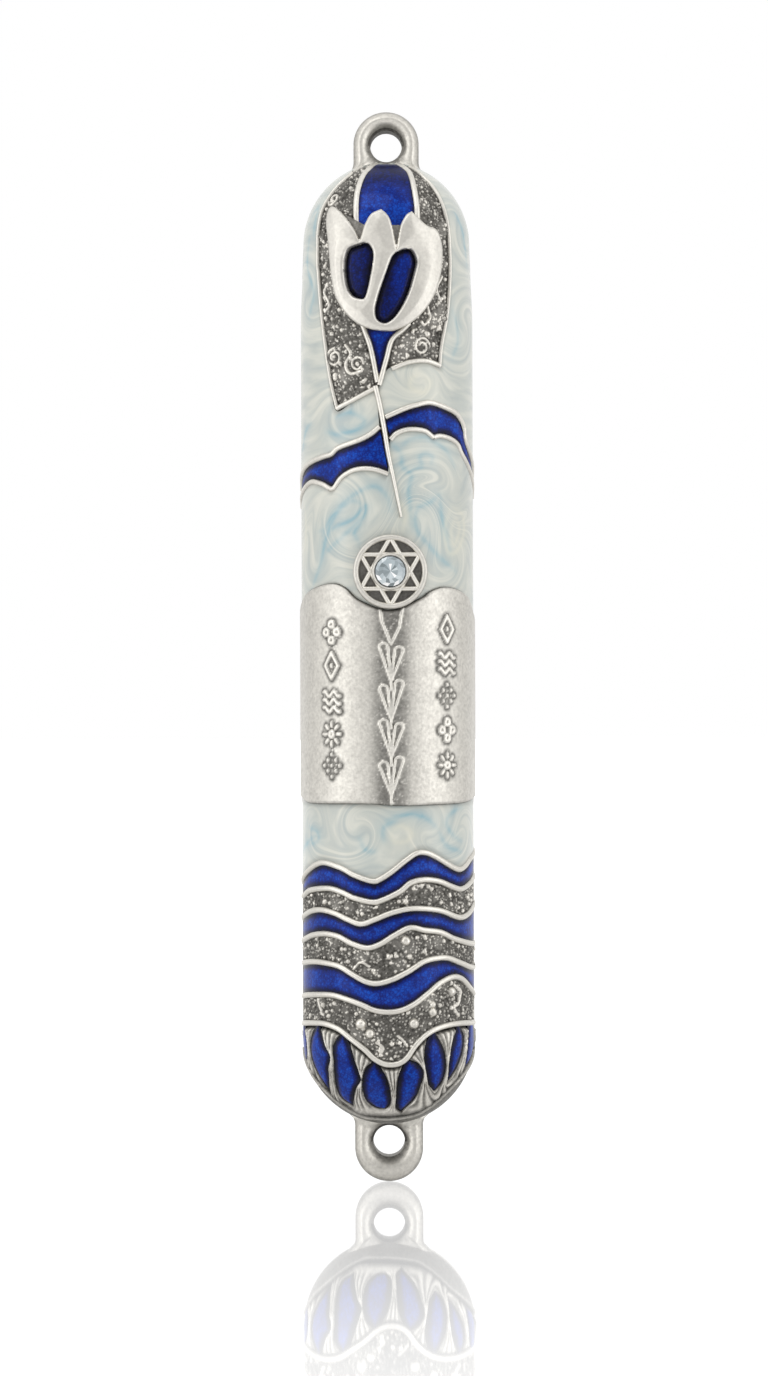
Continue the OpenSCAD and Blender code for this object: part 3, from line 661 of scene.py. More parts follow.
angle, height, rim = sheet_between(lowered(waves[6], 0.3), flange_line, 0.09)
away = []
for left, right in fringe_cells:
    outline = np.vstack([smooth_line(left, 0.3), smooth_line(right, 0.3)[::-1]])
    away.append(-outline_distance(angle, height, outline))
near, next_near = np.sort(away, axis=0)[:2]
span = np.maximum(near, 0) + next_near
share = np.maximum(near, 0) / span + 0.025 * np.sin(2.3 * height + 0.2 * angle)
ribbed = smoothstep((span - 0.45) / 0.5) * smoothstep((height + 51.0) / 1.6)
strand = 1 - ribbed * (0.5 - 0.5 * np.cos(2 * math.pi * 4 * share))
tassel = smoothstep((near + 0.02) / 0.16)
edge = smoothstep((rim - 0.3) / 0.5)
pits = granules(on_case(angle, height), 0.4, 0.05, 0.14, 0.5, 71)
lift = -0.4 + tassel * (0.3 + 0.16 * strand + 0.1 * smoothstep(near / 0.8) + 0.3 * pits) * edge
points, quads = case_plate(angle, height, lift, -0.7)
above = height - np.interp(angle, *np.array(flange_line).T)
rub = tassel * edge * (0.3 + 0.62 * strand + pits) * (0.15 + 0.85 * smoothstep((above - 0.5) / 1.4))
wear = np.stack([rub, np.full(rub.shape, 0.1)])
tassels = make_piece("fringe_tassels", points, quads, ground_pewter, sharp=75, wear=wear)
points, quads, wear = join_tubes([case_bead(lowered(flange_line, 0.3), half=0.17, high=0.56)])
flange_bead = make_piece("flange_bead", points, quads, cast_pewter, wear=0.6 * wear)
pole_line = [(angle, -56.5) for angle in np.linspace(-back_angle, back_angle, 12)]
angle, height, _ = sheet_between(lowered(flange_line, 0.35), pole_line, 0.35)
points, quads = case_plate(angle, height, -0.05, ground_floor)
flange = make_piece("flange", points, quads, ground_pewter, wear=np.full(points.shape[:-1], 0.3))
for piece in (tassels, flange_bead, flange):
    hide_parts("case_shell")
    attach(piece, "case")


# ---------------------------------------------------------------------------------------------
# The cobalt enamel: translucent blue glass over a stippled bed, fired in the ribbons, the waves, the window
# and point of the arch and the fringe's cells. It dips along the metal, where its colour is painted darker
# as shade from the metal.
def cobalt():
    """Deep blue under a clear gloss: colour by the rim value, painted near black along the metal as painted
    shade, with a net of dark lines over a fine and a broad mottle."""
    material, shader, node, wire = new_material("cobalt_enamel")
    place = node("TexCoord").outputs["Object"]
    rim = node("Attribute", attribute_name="rim").outputs["Fac"]
    mottle = node("TexNoise", {"Vector": place, "Scale": 2800, "Detail": 2}).outputs["Fac"]
    patch = node("TexNoise", {"Vector": place, "Scale": 700, "Detail": 3}).outputs["Fac"]
    cells = node("TexVoronoi", {"Vector": place, "Scale": 3000}, feature="DISTANCE_TO_EDGE")
    net = node("MapRange", {"Value": cells.outputs["Distance"], "From Max": 0.2, "To Min": -0.13,
                            "To Max": 0.05}).outputs["Result"]
    lighter = node("MapRange", {"Value": mottle, "From Min": 0.3, "From Max": 0.7, "To Min": -0.1,
                                "To Max": 0.1}).outputs["Result"]
    broad = node("MapRange", {"Value": patch, "From Min": 0.3, "From Max": 0.7, "To Min": -0.1,
                              "To Max": 0.1}).outputs["Result"]
    tone = node("Math", {0: rim, 1: 0.85, 2: lighter}, operation="MULTIPLY_ADD").outputs[0]
    tone = node("Math", {0: tone, 1: broad}, operation="ADD").outputs[0]
    tone = node("Math", {0: tone, 1: net}, operation="ADD", use_clamp=True).outputs[0]
    wire("Base Color", ramp(node, tone, (0.0, (0.001, 0.001, 0.008)), (0.4, (0.001, 0.004, 0.06)),
                            (0.75, (0.001, 0.018, 0.22)), (1.0, (0.002, 0.065, 0.46))))
    bump = node("Bump", {"Height": mottle, "Strength": 0.25, "Distance": 0.01 * mm})
    wire("Normal", bump.outputs["Normal"])
    shader.inputs["Metallic"].default_value = 0.3
    shader.inputs["Roughness"].default_value = 0.45
    shader.inputs["Specular IOR Level"].default_value = 0.1
    shader.inputs["Coat Weight"].default_value = 0.22
    shader.inputs["Coat Roughness"].default_value = 0.12
    return material


cobalt_enamel = cobalt()


def enamel_field(name, node_name, sides, spacing=0.2, crown=0.05, level=-0.1):
    """Cobalt enamel in one or more cells, each ruled between two lines: its top stands at level in the
    middle and crown mm lower along the metal. rim is 0 at the metal and 1 from 0.95 mm in, and darkens the
    colour near the metal as painted shade."""
    parts = []
    for first, second in sides:
        angle, height, rim = sheet_between(first, second, spacing)
        inward = smoothstep(rim / 0.95)
        points, quads = case_plate(angle, height, level - crown + crown * inward, bed)
        parts.append((points, quads, np.stack([inward, np.zeros(inward.shape)])))
    points, quads, rim = join_grids(parts)
    piece = make_piece(name, points, quads, cobalt_enamel, rim=rim)
    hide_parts(node_name)
    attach(piece, "case")


for k, field in enumerate(("top", "middle", "bottom")):
    enamel_field(f"wave_band_{field}", f"wave_enamel_{field}",
                 [(lowered(waves[2 * k], 0.4), lowered(waves[2 * k + 1], 0.12))])
left_low = ribbon_left_low + ribbon_left_low_in[1:]
right_low = ribbon_right_low_in + ribbon_right_low[1:]
enamel_field("ribbon_left", "ribbon_enamel_left", [(ribbon_left_top, left_low)], 0.12)
enamel_field("ribbon_right", "ribbon_enamel_right", [(ribbon_right_top, right_low)], 0.12)
enamel_field("fringe_drops", "fringe_enamel", fringe_cells, 0.12, crown=0.12, level=-0.06)


# ---------------------------------------------------------------------------------------------
# The pearl enamel: opaque white with pearl dust, stirred while wet so that its sheen runs in
# whorls, with wisps of pale blue and of cream drawn through it. Four fields between the metal lines.
whorls = [(-30, 13.5, 3.6, 3.0), (12, 12.8, 3.0, -3.5), (38, 16.0, 3.2, 2.5), (45, 9.5, 3.4, -3.5),
          (-62, 9.0, 3.0, 2.0), (62, 13.0, 2.6, 3.0), (22, 27.6, 2.0, -3.5), (-30, 24.0, 2.4, 3.0),
          (-66, 37.0, 3.2, 2.5), (62, 33.5, 3.2, -2.5), (66, 44.0, 3.0, 2.5), (-20, -19.5, 2.4, -3.5),
          (28, -19.2, 2.6, 2.5), (55, -19.8, 2.2, -3.5), (-55, -19.5, 2.6, 3.5)]
blue_wisps = [
    [(-35, 23.8), (-25, 24.1), (-15, 23.2), (-22, 22.2), (-35, 21.9), (-44, 22.2)],
    [(-60, 5.8), (-51, 8.1), (-45, 10.8), (-36, 13.5), (-22, 15.5), (-8, 16.3), (0, 15.2), (2, 13.8)],
    [(-48, 11.3), (-40, 13.1), (-25, 14.8), (-17, 14.5)],
    [(-51, 11.8), (-37, 12.1), (-23, 13), (-14, 14.3), (-16, 13.2), (-30, 11.2), (-46, 9.4)],
    [(2, 20.9), (9, 19.7), (10, 18.4), (16, 17.5), (14, 16.1), (15, 14.3), (17, 11.6)],
    [(14, 18.1), (21, 18.4), (23, 18.6), (22, 19.4), (26, 19.8), (31, 19.5), (30, 18.8)],
    [(10, 20.6), (16, 21.3), (28, 21.4), (43, 20.1), (51, 18.6)],
    [(37, 15.5), (28, 14.6), (20, 13.9), (19, 12), (28, 10.2), (39, 8.7), (51, 7.6)],
    [(37, 15.3), (39, 13), (42, 11.2), (46, 9.4)], [(-19, 10.5), (-22, 11.6), (-17, 12.7)],
    [(-79, 20.5), (-70, 22.5), (-61, 23.3)], [(60, 45.7), (67, 43.4), (73, 40.3)],
    [(50, 35), (55, 32.1), (49, 30.2)], [(-67, 43), (-70, 40.3), (-58, 37.3), (-63, 34.6)],
    [(-72, 45), (-62, 46.3), (-60, 43.3)], [(-2, -18.7), (9, -18.1), (24, -18.3), (34, -19.5)],
    [(58, -17.4), (46, -18), (42, -19.1), (48, -20.3), (57, -21)],
    [(-66, -19.5), (-55, -20), (-54, -20.9), (-68, -21.4)], [(-3, -20.8), (-3, -19.4), (7, -18.4)],
    [(-19, -20.6), (-15, -21.7), (-8, -21.9)], [(-88, -22.6), (-59, -20.5), (-52, -20)],
    [(36, -20), (42, -21.4), (57, -22.1)]]
cream_wisps = [
    [(47, 14.2), (59, 13.6), (62, 11.8), (53, 9.7), (44, 9.6), (41, 11.9), (47, 14.2)],
    [(52, 13.1), (56, 12), (50, 10.3), (47, 11.9), (52, 13.1)],
    [(22, 28.2), (16, 27.5), (16, 26.6), (25, 26.2), (30, 27.3), (24, 27.8)],
    [(1, -19.9), (8, -19.2), (15, -19.9), (12, -20.8), (4, -20.8), (1, -19.9)],
    [(10, 11.5), (12, 13.4), (9, 14.6)], [(-78, 8), (-70, 12), (-74, 15)]]


def pearl():
    """Pearl white: long noise drawn along the flow gives silky strokes; blue and cream follow the
    wisps, broken up by the same noise."""
    material, shader, node, wire = new_material("pearl_enamel")
    flow = node("Attribute", attribute_name="flow").outputs["Vector"]
    blue = node("Attribute", attribute_name="blue").outputs["Fac"]
    cream = node("Attribute", attribute_name="cream").outputs["Fac"]
    rim = node("Attribute", attribute_name="rim").outputs["Fac"]
    drawn = node("Mapping", {"Vector": flow, "Scale": (0.16, 0.8, 1.0)}).outputs["Vector"]
    stroke = node("TexNoise", {"Vector": drawn, "Scale": 1.0, "Detail": 4, "Roughness": 0.5,
                               "Distortion": 0.3}).outputs["Fac"]
    silk = ramp(node, stroke, (0.3, (0.45, 0.49, 0.47)), (0.5, (0.56, 0.58, 0.53)),
                (0.66, (0.67, 0.67, 0.6)))
    broken = node("MapRange", {"Value": stroke, "From Min": 0.3, "From Max": 0.6, "To Min": 1.0,
                               "To Max": 0.45}).outputs["Result"]
    share = node("Math", {0: blue, 1: broken}, operation="MULTIPLY", use_clamp=True).outputs[0]
    washed = node("Mix", {"Factor": share, "A": silk, "B": (0.23, 0.42, 0.49, 1)}, data_type="RGBA")
    share = node("Math", {0: cream, 1: 0.6}, operation="MULTIPLY", use_clamp=True).outputs[0]
    washed = node("Mix", {"Factor": share, "A": washed.outputs["Result"], "B": (0.72, 0.7, 0.58, 1)},
                  data_type="RGBA")
    # Painted shade: the colour is darkened down to 0.66 along the metal.
    edge = node("MapRange", {"Value": rim, "To Min": 0.66, "To Max": 1.0}).outputs["Result"]
    painted_shade = node("Mix", {"Factor": 1.0, "A": washed.outputs["Result"], "B": edge}, data_type="RGBA",
                 blend_type="MULTIPLY")
    wire("Base Color", painted_shade.outputs["Result"])
    shader.inputs["Roughness"].default_value = 0.4
    shader.inputs["Coat Weight"].default_value = 0.5
    shader.inputs["Coat Roughness"].default_value = 0.12
    return material


pearl_enamel = pearl()


def stirred(angle, height):
    """Flow coordinates: each whorl turns the flat place about its centre by twist * exp(-(d/r)^2)."""
    x, y = np.radians(angle) * front_r, height
    for turn_at, high_at, r, twist in whorls:
        cx = math.radians(turn_at) * front_r
        turn = twist * np.exp(-((x - cx) ** 2 + (y - high_at) ** 2) / r**2)
        dx, dy = x - cx, y - high_at
        x = cx + dx * np.cos(turn) - dy * np.sin(turn)
        y = high_at + dx * np.sin(turn) + dy * np.cos(turn)
    return np.stack([x, y, 0 * x], -1)


def wisp(angle, height, lines, half):
    """How strongly a field is coloured by soft lines: exp(-(d/half)^2) and a faint wider halo, d in mm
    to the nearest point of a line; each line fades in and out over its length."""
    x, y = np.radians(angle) * front_r, height
    amount = np.zeros(x.shape)
    for line in lines:
        path = smooth_line(line, 0.2)
        fade = np.sin(math.pi * np.linspace(0.06, 0.94, len(path))) ** 0.5
        for (a, h), strong in zip(path, fade):
            d2 = (x - math.radians(a) * front_r) ** 2 + (y - h) ** 2
            spread = 0.66 * np.exp(-d2 / half**2) + 0.34 * np.exp(-d2 / (4 * half) ** 2)
            amount = np.maximum(amount, strong * spread)
    return amount


def pearl_field(name, node_name, first, second):
    """One pearl field, crowned in the middle, with its flow, blue, cream and rim values."""
    angle, height, rim = sheet_between(first, second, 0.16)
    inward = smoothstep(rim / 0.8)
    points, quads = case_plate(angle, height, -0.12 + 0.08 * inward, bed)
    values = {"flow": stirred(angle, height), "blue": wisp(angle, height, blue_wisps, 0.28),
              "cream": wisp(angle, height, cream_wisps, 0.3), "rim": inward}
    values = {key: np.stack([value, value]) for key, value in values.items()}
    piece = make_piece(name, points, quads, pearl_enamel, **values)
    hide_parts(node_name)
    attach(piece, "case")


lip_left = [(-lip_angle, 56.2), (-lip_angle, 46), (-lip_angle, 30), (-lip_angle, 16.8)]
lip_right = [(lip_angle, 56.2), (lip_angle, 46), (lip_angle, 30), (lip_angle, 18.2)]
left_inner = [(-52, 56.2)] + arch_left[:-1] + [(-36, 24.4), (-23, 25.2), (-11.1, 26.2), (-7, 26.2)]
right_inner = [(50, 56.2)] + arch_right[:-1] + [(38, 29.0), (26.7, 29.3), (14.7, 29.1), (1, 28.6),
                                               (-5.6, 26.6)]
pearl_field("pearl_upper_left", "pearl_enamel_upper_left", lip_left + ribbon_left_top[1:], left_inner)
pearl_field("pearl_upper_right", "pearl_enamel_upper_right", right_inner,
            lip_right + ribbon_right_top[::-1][1:] + [(-3.6, 23.0)])
middle_top = [(-98.7, 14.5), (-79.1, 16.1), (-66.7, 16.8), (-59.1, 17.0), (-48.7, 16.7), (-41.1, 16.1),
              (-37.7, 16.2), (-32, 17.2), (-23.7, 17.9), (-15.3, 18.1), (-7.3, 17.95), (0.2, 17.6),
              (1.6, 20.9), (5.9, 21.8), (11.9, 22.15), (18.7, 22.2), (25.8, 22.1), (29.5, 21.7),
              (32.2, 21.5), (37.5, 21.7), (46.5, 21.5), (55.1, 20.9), (63.1, 19.6), (98.7, 15.6)]
middle_foot = [(-98.7, 2.4), (-76.8, 4.3), (-65.6, 5.0), (-49, 5.6), (-37, 5.8), (-26, 4.9), (-18, 4.1),
               (-9, 3.3), (2, 3.0), (12, 3.4), (21, 4.2), (28, 4.9), (39.6, 5.4), (50.6, 5.2),
               (64, 4.5), (73.8, 3.3), (98.7, 1.4)]
pearl_field("pearl_middle", "pearl_enamel_middle", middle_top, middle_foot)
lower_top = [(-98.7, -16.4), (-60, -16.6), (0, -16.7), (60, -16.6), (98.7, -16.4)]
pearl_field("pearl_lower", "pearl_enamel_lower", lower_top, lowered(waves[0], 0.12))


# ---------------------------------------------------------------------------------------------
# The three-petal emblem and its stem: a thick polished pewter casting with two slanted windows,
# and a thin tapering wire that runs down from the arch's point across the ribbons.
bright_pewter = antique_pewter("bright_pewter", (0.03, 0.027, 0.023), (0.72, 0.695, 0.64), 0.4, 0.03, 0.5)
petals = [
    [(-42.6, 45.5), (-39.9, 45.8), (-33.3, 45.3), (-25.8, 44.2), (-20.3, 43), (-17.4, 42)],
    [(-17.4, 42), (-16, 42.6), (-14, 43.6), (-10, 44.7), (-3.4, 45.2)],
    [(-3.4, 45.2), (1.1, 44.5), (3.8, 43.35), (6.4, 41.15)],
    [(6.4, 41.15), (7.5, 42.3), (9.3, 43.6), (13, 44.6), (16.8, 45)],
    [(16.8, 45), (21.5, 44.3), (27.2, 43.6), (33.5, 43.3), (37.1, 42.3), (38.2, 40.75), (36.1, 38.6),
     (30.8, 36.35), (23.9, 34.7), (15.5, 33.4), (6.7, 32.65), (0.2, 32.5), (-9.7, 32.7), (-19.2, 33.4),
     (-27.8, 34.8), (-34.1, 36.6), (-37.9, 39.2), (-40.5, 42.4), (-42.8, 44.4), (-42.6, 45.5)]]
emblem_outline = np.vstack([smooth_line(run, 0.12)[:-1] for run in petals])
emblem_windows = [
    [(-14.6, 41.8), (-19.5, 41.6), (-25.4, 41.2), (-27.9, 40.1), (-27.8, 38.6), (-25.7, 37.1),
     (-21.3, 36.2), (-16.4, 35.9), (-13.7, 36), (-11.7, 37), (-9.1, 39.2), (-8.4, 40.7), (-11.1, 41.6),
     (-14.6, 41.8)],
    [(5.7, 40.7), (11.2, 41.1), (16.7, 41), (19.8, 39.9), (17.9, 38.5), (14.3, 36.65), (9.4, 35),
     (4.1, 33.8), (-1.1, 33.3), (-6, 33.7), (-7.3, 34.75), (-5, 36.4), (-0.4, 38.6), (3, 40.1),
     (5.7, 40.7)]]


def trimmed_plate(name, outline, holes, spacing, top_of, floor, material):
    """A plate cut to an outline with holes: grid points within 0.62 of a cell of an edge move onto
    it, cells outside are dropped, and walls close every open edge down to the floor. top_of gives the
    top's height from the distance to the nearest edge."""
    low, high = outline.min(0) - 1.5, outline.max(0) + 0.6
    across = np.arange(low[0], high[0], math.degrees(spacing / front_r))
    up = np.arange(low[1], high[1], spacing)
    angle, height = np.meshgrid(across, up)
    scale = math.degrees(1 / front_r)

    def depth(a, h):
        """Distance in mm to the nearest edge of the plate or of a hole, positive on the plate."""
        inside = outline_distance(a, h, outline)
        for hole in holes:
            inside = np.minimum(inside, -outline_distance(a, h, hole))
        return inside

    tip = 0.02
    for _ in range(3):
        d = depth(angle, height)
        near = np.abs(d) < 0.62 * spacing
        gx = (depth(angle + tip * scale, height) - depth(angle - tip * scale, height)) / (2 * tip)
        gy = (depth(angle, height + tip) - depth(angle, height - tip)) / (2 * tip)
        size = np.maximum(gx**2 + gy**2, 0.25)
        angle = np.where(near, angle - d * gx / size * scale, angle)
        height = np.where(near, height - d * gy / size, height)
    d = depth(angle, height)
    inside = d > -0.03 * spacing
    rows, cols = angle.shape
    face = grid_quads(rows, cols)
    face = face[inside.reshape(-1)[face].all(axis=1)]
    top = on_case(angle, height, top_of(np.maximum(d, 0)))
    bottom = on_case(angle, height, floor)
    total = rows * cols
    start, end = face.reshape(-1), np.roll(face, -1, axis=1).reshape(-1)
    lone = ~np.isin(start * total + end, end * total + start)
    wall = np.stack([end[lone], start[lone], start[lone] + total, end[lone] + total], -1)
    quads = np.concatenate([face, face[:, ::-1] + total, wall])
    # The top is painted 0.1 brighter within 0.2 mm of every edge: a painted highlight on the rounded lip as
    # well as rubbed edges.
    wear = np.stack([0.95 - 0.1 * smoothstep(d / 0.2), np.full(d.shape, 0.1)])
    return make_piece(name, np.stack([top, bottom]), quads, material, wear=wear)


def petal_top(d):
    """Height of the emblem: 0.74 mm near its edges, 0.16 mm more from 1.5 mm in, and rounded off
    over 0.25 mm along every edge."""
    return 0.74 + 0.16 * smoothstep(d / 1.5) - 0.18 * np.clip(1 - d / 0.25, 0, 1) ** 2


window_outlines = [smooth_line(window, 0.12)[:-1] for window in emblem_windows]
emblem = trimmed_plate("tulip_petals", emblem_outline, window_outlines, 0.1, petal_top, -0.5,
                       bright_pewter)
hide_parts("tulip_emblem")
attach(emblem, "case")

web_left = [(-29, 44.9), (-22, 43.0), (-17.4, 41.6)], [(-12.6, 43.5), (-15.2, 42.7), (-17.0, 41.6)]
web_right = [(2.2, 43.6), (4.4, 42.5), (6.4, 40.8)], [(10.6, 43.6), (8.6, 42.6), (6.8, 40.8)]
parts = []
for first, second in (web_left, web_right):
    angle, height, _ = sheet_between(first, second, 0.12)
    pits = granules(on_case(angle, height), 0.3, 0.05, 0.12, 0.9, 47)
    points, quads = case_plate(angle, height, 0.28 + 0.4 * pits, -0.3)
    parts.append((points, quads, np.stack([0.3 + 2.0 * pits, 0 * pits])))
points, quads, wear = join_grids(parts)
web = make_piece("petal_webs", points, quads, ground_pewter, sharp=75, wear=wear)
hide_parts("tulip_emblem")
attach(web, "case")

column_left = [(-25, 53.6), (-25.5, 50.8), (-24.2, 47.7), (-23.5, 44.9), (-30.5, 42.4), (-30.5, 36.4),
               (-18, 33.8), (-14.4, 32.5), (-10.4, 30.6), (-5.6, 27)]
column_right = [(27, 53.6), (28.5, 51.2), (24.4, 48.4), (22.4, 44.9), (22, 41), (20, 37), (14.5, 33.4),
                (10.7, 32.7), (3.4, 31.6), (-0.5, 29.5), (-5.4, 26.9)]
angle, height, rim = sheet_between(column_left, column_right, 0.12)
pane = np.maximum(*(outline_distance(angle, height, window) for window in window_outlines))
# Under the emblem the blue is painted as shade: dark overall, darkest at each window's edge, and lighter
# toward the right as painted light.
under = smoothstep((height - 32.2) / 0.8) * smoothstep((43.6 - height) / 0.8)
inward = (smoothstep(rim / 1.0) * (1 - under)
          + under * (0.55 + 0.25 * smoothstep(angle / 8)) * smoothstep(pane / 0.9))
lift = -0.15 + 0.05 * smoothstep(rim / 0.55) + 0.35 * smoothstep(pane / 0.6)
points, quads = case_plate(angle, height, lift, bed)
# Painted shade: the column's colour darkens toward its top, where the window turns over the dome.
inward = inward * (1 - 0.5 * smoothstep((height - 45.5) / 6))
column = make_piece("column_of_the_arch", points, quads, cobalt_enamel,
                    rim=np.stack([inward, np.zeros(inward.shape)]))
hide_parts("column_enamel")
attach(column, "case")

stem_line = smooth_line([(-7.5, 26.8), (-4.6, 24.8), (-2, 22.5), (0.9, 19.6), (4.5, 16.8), (9, 13.1)])
stem_path = on_case(*stem_line.T, -0.2)
stem_out = on_case(*stem_line.T, 1.0) - on_case(*stem_line.T, 0.0)
stem_half = 0.3 - 0.14 * np.linspace(0, 1, len(stem_line)) ** 2
points, quads, wear = join_tubes([bead(stem_path, stem_out, stem_half, 0.55, 0.15)])
stem = make_piece("slanted_stem", points, quads, bright_pewter, wear=wear)
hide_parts("stem_wire")
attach(stem, "case")


# ---------------------------------------------------------------------------------------------
# The double tablets: a thin plaque with two round tops, wrapped across the case. Rows of small
# raised marks stand on each leaf, and a column of outlined leaves runs down the joint between them.
tablets_edge = 98
tablets_top = [(-tablets_edge, 2.6), (-88, 3.7), (-76.8, 4.65), (-65.6, 5.35), (-49, 6.05),
               (-37.1, 6.25), (-27.7, 5.7), (-18, 4.4), (2, 3.4), (21, 4.6), (26.9, 5.2), (32.2, 5.6),
               (39.6, 5.85), (50.6, 5.65), (64, 4.95), (73.8, 3.8), (86, 2.8), (tablets_edge, 1.7)]
tablets_foot = [(-tablets_edge, -16.3), (-79, -16.6), (-60, -16.95), (-14.7, -16.9), (5, -17.1),
                (30, -17.05), (56, -16.95), (80, -16.6), (tablets_edge, -16.3)]
round_way = np.linspace(0, 2 * math.pi, 13)
rays = np.linspace(0, 2 * math.pi, 9)[:-1]
wave_way = np.linspace(-0.9, 0.9, 15)
sun_mark = [list(zip(0.26 * np.cos(round_way), 0.22 * np.sin(round_way)))]
sun_mark += [[(r * math.cos(a), r * math.sin(a)) for r in (0.62, 0.9)] for a in rays]
flower_mark = [list(zip(x + 0.27 * np.cos(round_way), y + 0.24 * np.sin(round_way)))
               for x, y in ((0, 0.62), (-0.6, 0), (0.6, 0), (0, -0.62))]
lozenge_mark = [[(-0.72, 0), (0, 1), (0.72, 0), (0, -1), (-0.72, 0)], [(0, 0.06), (0, -0.06)]]
wave_mark = [list(zip(wave_way, shift + 0.2 * np.sin(wave_way * 6))) for shift in (-0.6, 0, 0.6)]
dots_mark = [[(x, y - 0.02), (x, y + 0.02)] for x, y in
             ((0, 0.85), (-0.45, 0.42), (0.45, 0.42), (-0.85, 0), (0, 0), (0.85, 0), (-0.45, -0.42),
              (0.45, -0.42), (0, -0.85))]
left_marks = [(1.1, flower_mark), (-2.4, lozenge_mark), (-6.2, wave_mark), (-9.6, sun_mark),
              (-12.9, dots_mark)]
right_marks = [(1.4, lozenge_mark), (-2.2, wave_mark), (-5.6, dots_mark), (-9.2, flower_mark),
               (-12.9, sun_mark)]


def stroke_distance(x, y, points):
    """Least distance from flat places to a line of straight strokes."""
    best = np.full(x.shape, 9.0)
    for (x0, y0), (x1, y1) in zip(points[:-1], points[1:]):
        dx, dy = x1 - x0, y1 - y0
        t = np.clip(((x - x0) * dx + (y - y0) * dy) / (dx * dx + dy * dy), 0, 1)
        best = np.minimum(best, np.hypot(x - x0 - t * dx, y - y0 - t * dy))
    return best


def leaf_distance(x, y, foot, tip, width):
    """Distance to a leaf: a stroke whose half width grows from nothing at its foot to width at its
    tip."""
    (x0, y0), (x1, y1) = foot, tip
    dx, dy = x1 - x0, y1 - y0
    t = np.clip(((x - x0) * dx + (y - y0) * dy) / (dx * dx + dy * dy), 0, 1)
    return np.hypot(x - x0 - t * dx, y - y0 - t * dy) - width * t


def tablet_relief(angle, height):
    """Raised marks and the leaf column's outlines over the plaque: each rises 0.2 mm over 0.14 mm at
    its edge, and the ground is dark and stippled close to them. Returns the relief and the wear."""
    x, y = np.radians(angle) * front_r, height
    marks = np.full(x.shape, 9.0)
    for column, rows in ((-37.5, left_marks), (40.0, right_marks)):
        for cy, mark in rows:
            for line in mark:
                placed = [(math.radians(column) * front_r + 1.12 * px, cy + 1.35 * py) for px, py in line]
                marks = np.minimum(marks, stroke_distance(x, y, placed) - 0.2)
    sprig = stroke_distance(x, y, [(-0.75, 3.7), (-0.6, 2.2), (0.33, -0.2), (1.2, 1.6), (1.5, 3.7)]) - 0.15
    for foot, left_tip, right_tip in ((-4.1, -0.5, -0.9), (-8.1, -4.9, -4.4), (-12.0, -8.5, -8.9),
                                      (-16.0, -12.9, -12.4)):
        for side, tip in ((-0.42, left_tip), (1.12, right_tip)):
            leaf = leaf_distance(x, y, (0.33, foot), (side, tip), 0.42)
            sprig = np.minimum(sprig, np.abs(leaf) - 0.14)
        sprig = np.minimum(sprig, stroke_distance(x, y, [(0.33, foot + 1.0), (0.33, foot - 0.9)]) - 0.12)
    raised = np.minimum(marks, sprig)
    middle = 0.72 * np.exp(-((x - 0.33) / 1.75) ** 4)
    near = np.maximum(0.9 * smoothstep(1 - (marks - 0.02) / 0.5), middle)
    stipple = granules(on_case(angle, height), 0.26, 0.05, 0.12, 0.85, 91)
    relief = 0.2 * smoothstep(0.5 - raised / 0.14) + (0.12 + 0.4 * near) * stipple - 0.06 * middle
    on_top = smoothstep(0.5 - raised / 0.1)
    wear = 0.76 + 0.16 * on_top + 0.6 * stipple - near * (1 - on_top) * (0.55 - 5.0 * stipple)
    return relief, wear


satin_pewter = antique_pewter("satin_pewter", (0.03, 0.028, 0.024), (0.72, 0.695, 0.64), 0.34, 0.05, 0.7)
angle, height, rim = sheet_between(tablets_top, tablets_foot, 0.13)
end_rim = math.radians(front_r) * (tablets_edge - np.abs(angle))
rim = np.minimum(rim, end_rim)
relief, rub = tablet_relief(angle, height)
edge = np.clip(1 - rim / 0.3, 0, 1)
lift = 0.4 - 0.25 * smoothstep((np.abs(angle) - 55) / 25) - 0.22 * edge**2 + relief
points, quads = case_plate(angle, height, lift, -0.1)
wear = np.stack([np.where(rim < 0.02, 0.2, rub), np.full(rub.shape, 0.1)])
tablets = make_piece("double_tablets", points, quads, satin_pewter, sharp=60, wear=wear)
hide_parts("tablets_plaque")
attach(tablets, "case")


# ---------------------------------------------------------------------------------------------
# The star medallion: a round pewter boss over the tablets' joint, with a raised rim, six crossed
# bars on a darkened floor, and a turned bezel that grips a round foiled crystal.
medal_x, medal_z = 0.3, 7.37
floor_y, face_y, bezel_y = -12.0, -12.6, -12.85
medal_r, rim_r, bar_half = 3.9, 3.58, 0.29
stone_r = 1.6


def turned(profile):
    """A closed profile of (radius, y) points turned about the medallion's axis."""
    r, y = np.array(profile).T
    turn = np.linspace(0, 2 * math.pi, 97)[:, None] % (2 * math.pi)
    x = medal_x + r * np.sin(turn)
    z = medal_z + r * np.cos(turn)
    return np.stack([x, y + 0 * turn, z], -1)


def arch_profile(inner, outer, base, face):
    """A ring's profile from inner to outer radius: flat behind, a low round arch in front."""
    t = np.linspace(0, math.pi, 13)
    r = (inner + outer) / 2 - np.cos(t) * (outer - inner) / 2
    return [(inner, base)] + list(zip(r, face + (1 - np.sin(t) ** 0.8) * 0.4)) + [(outer, base)]


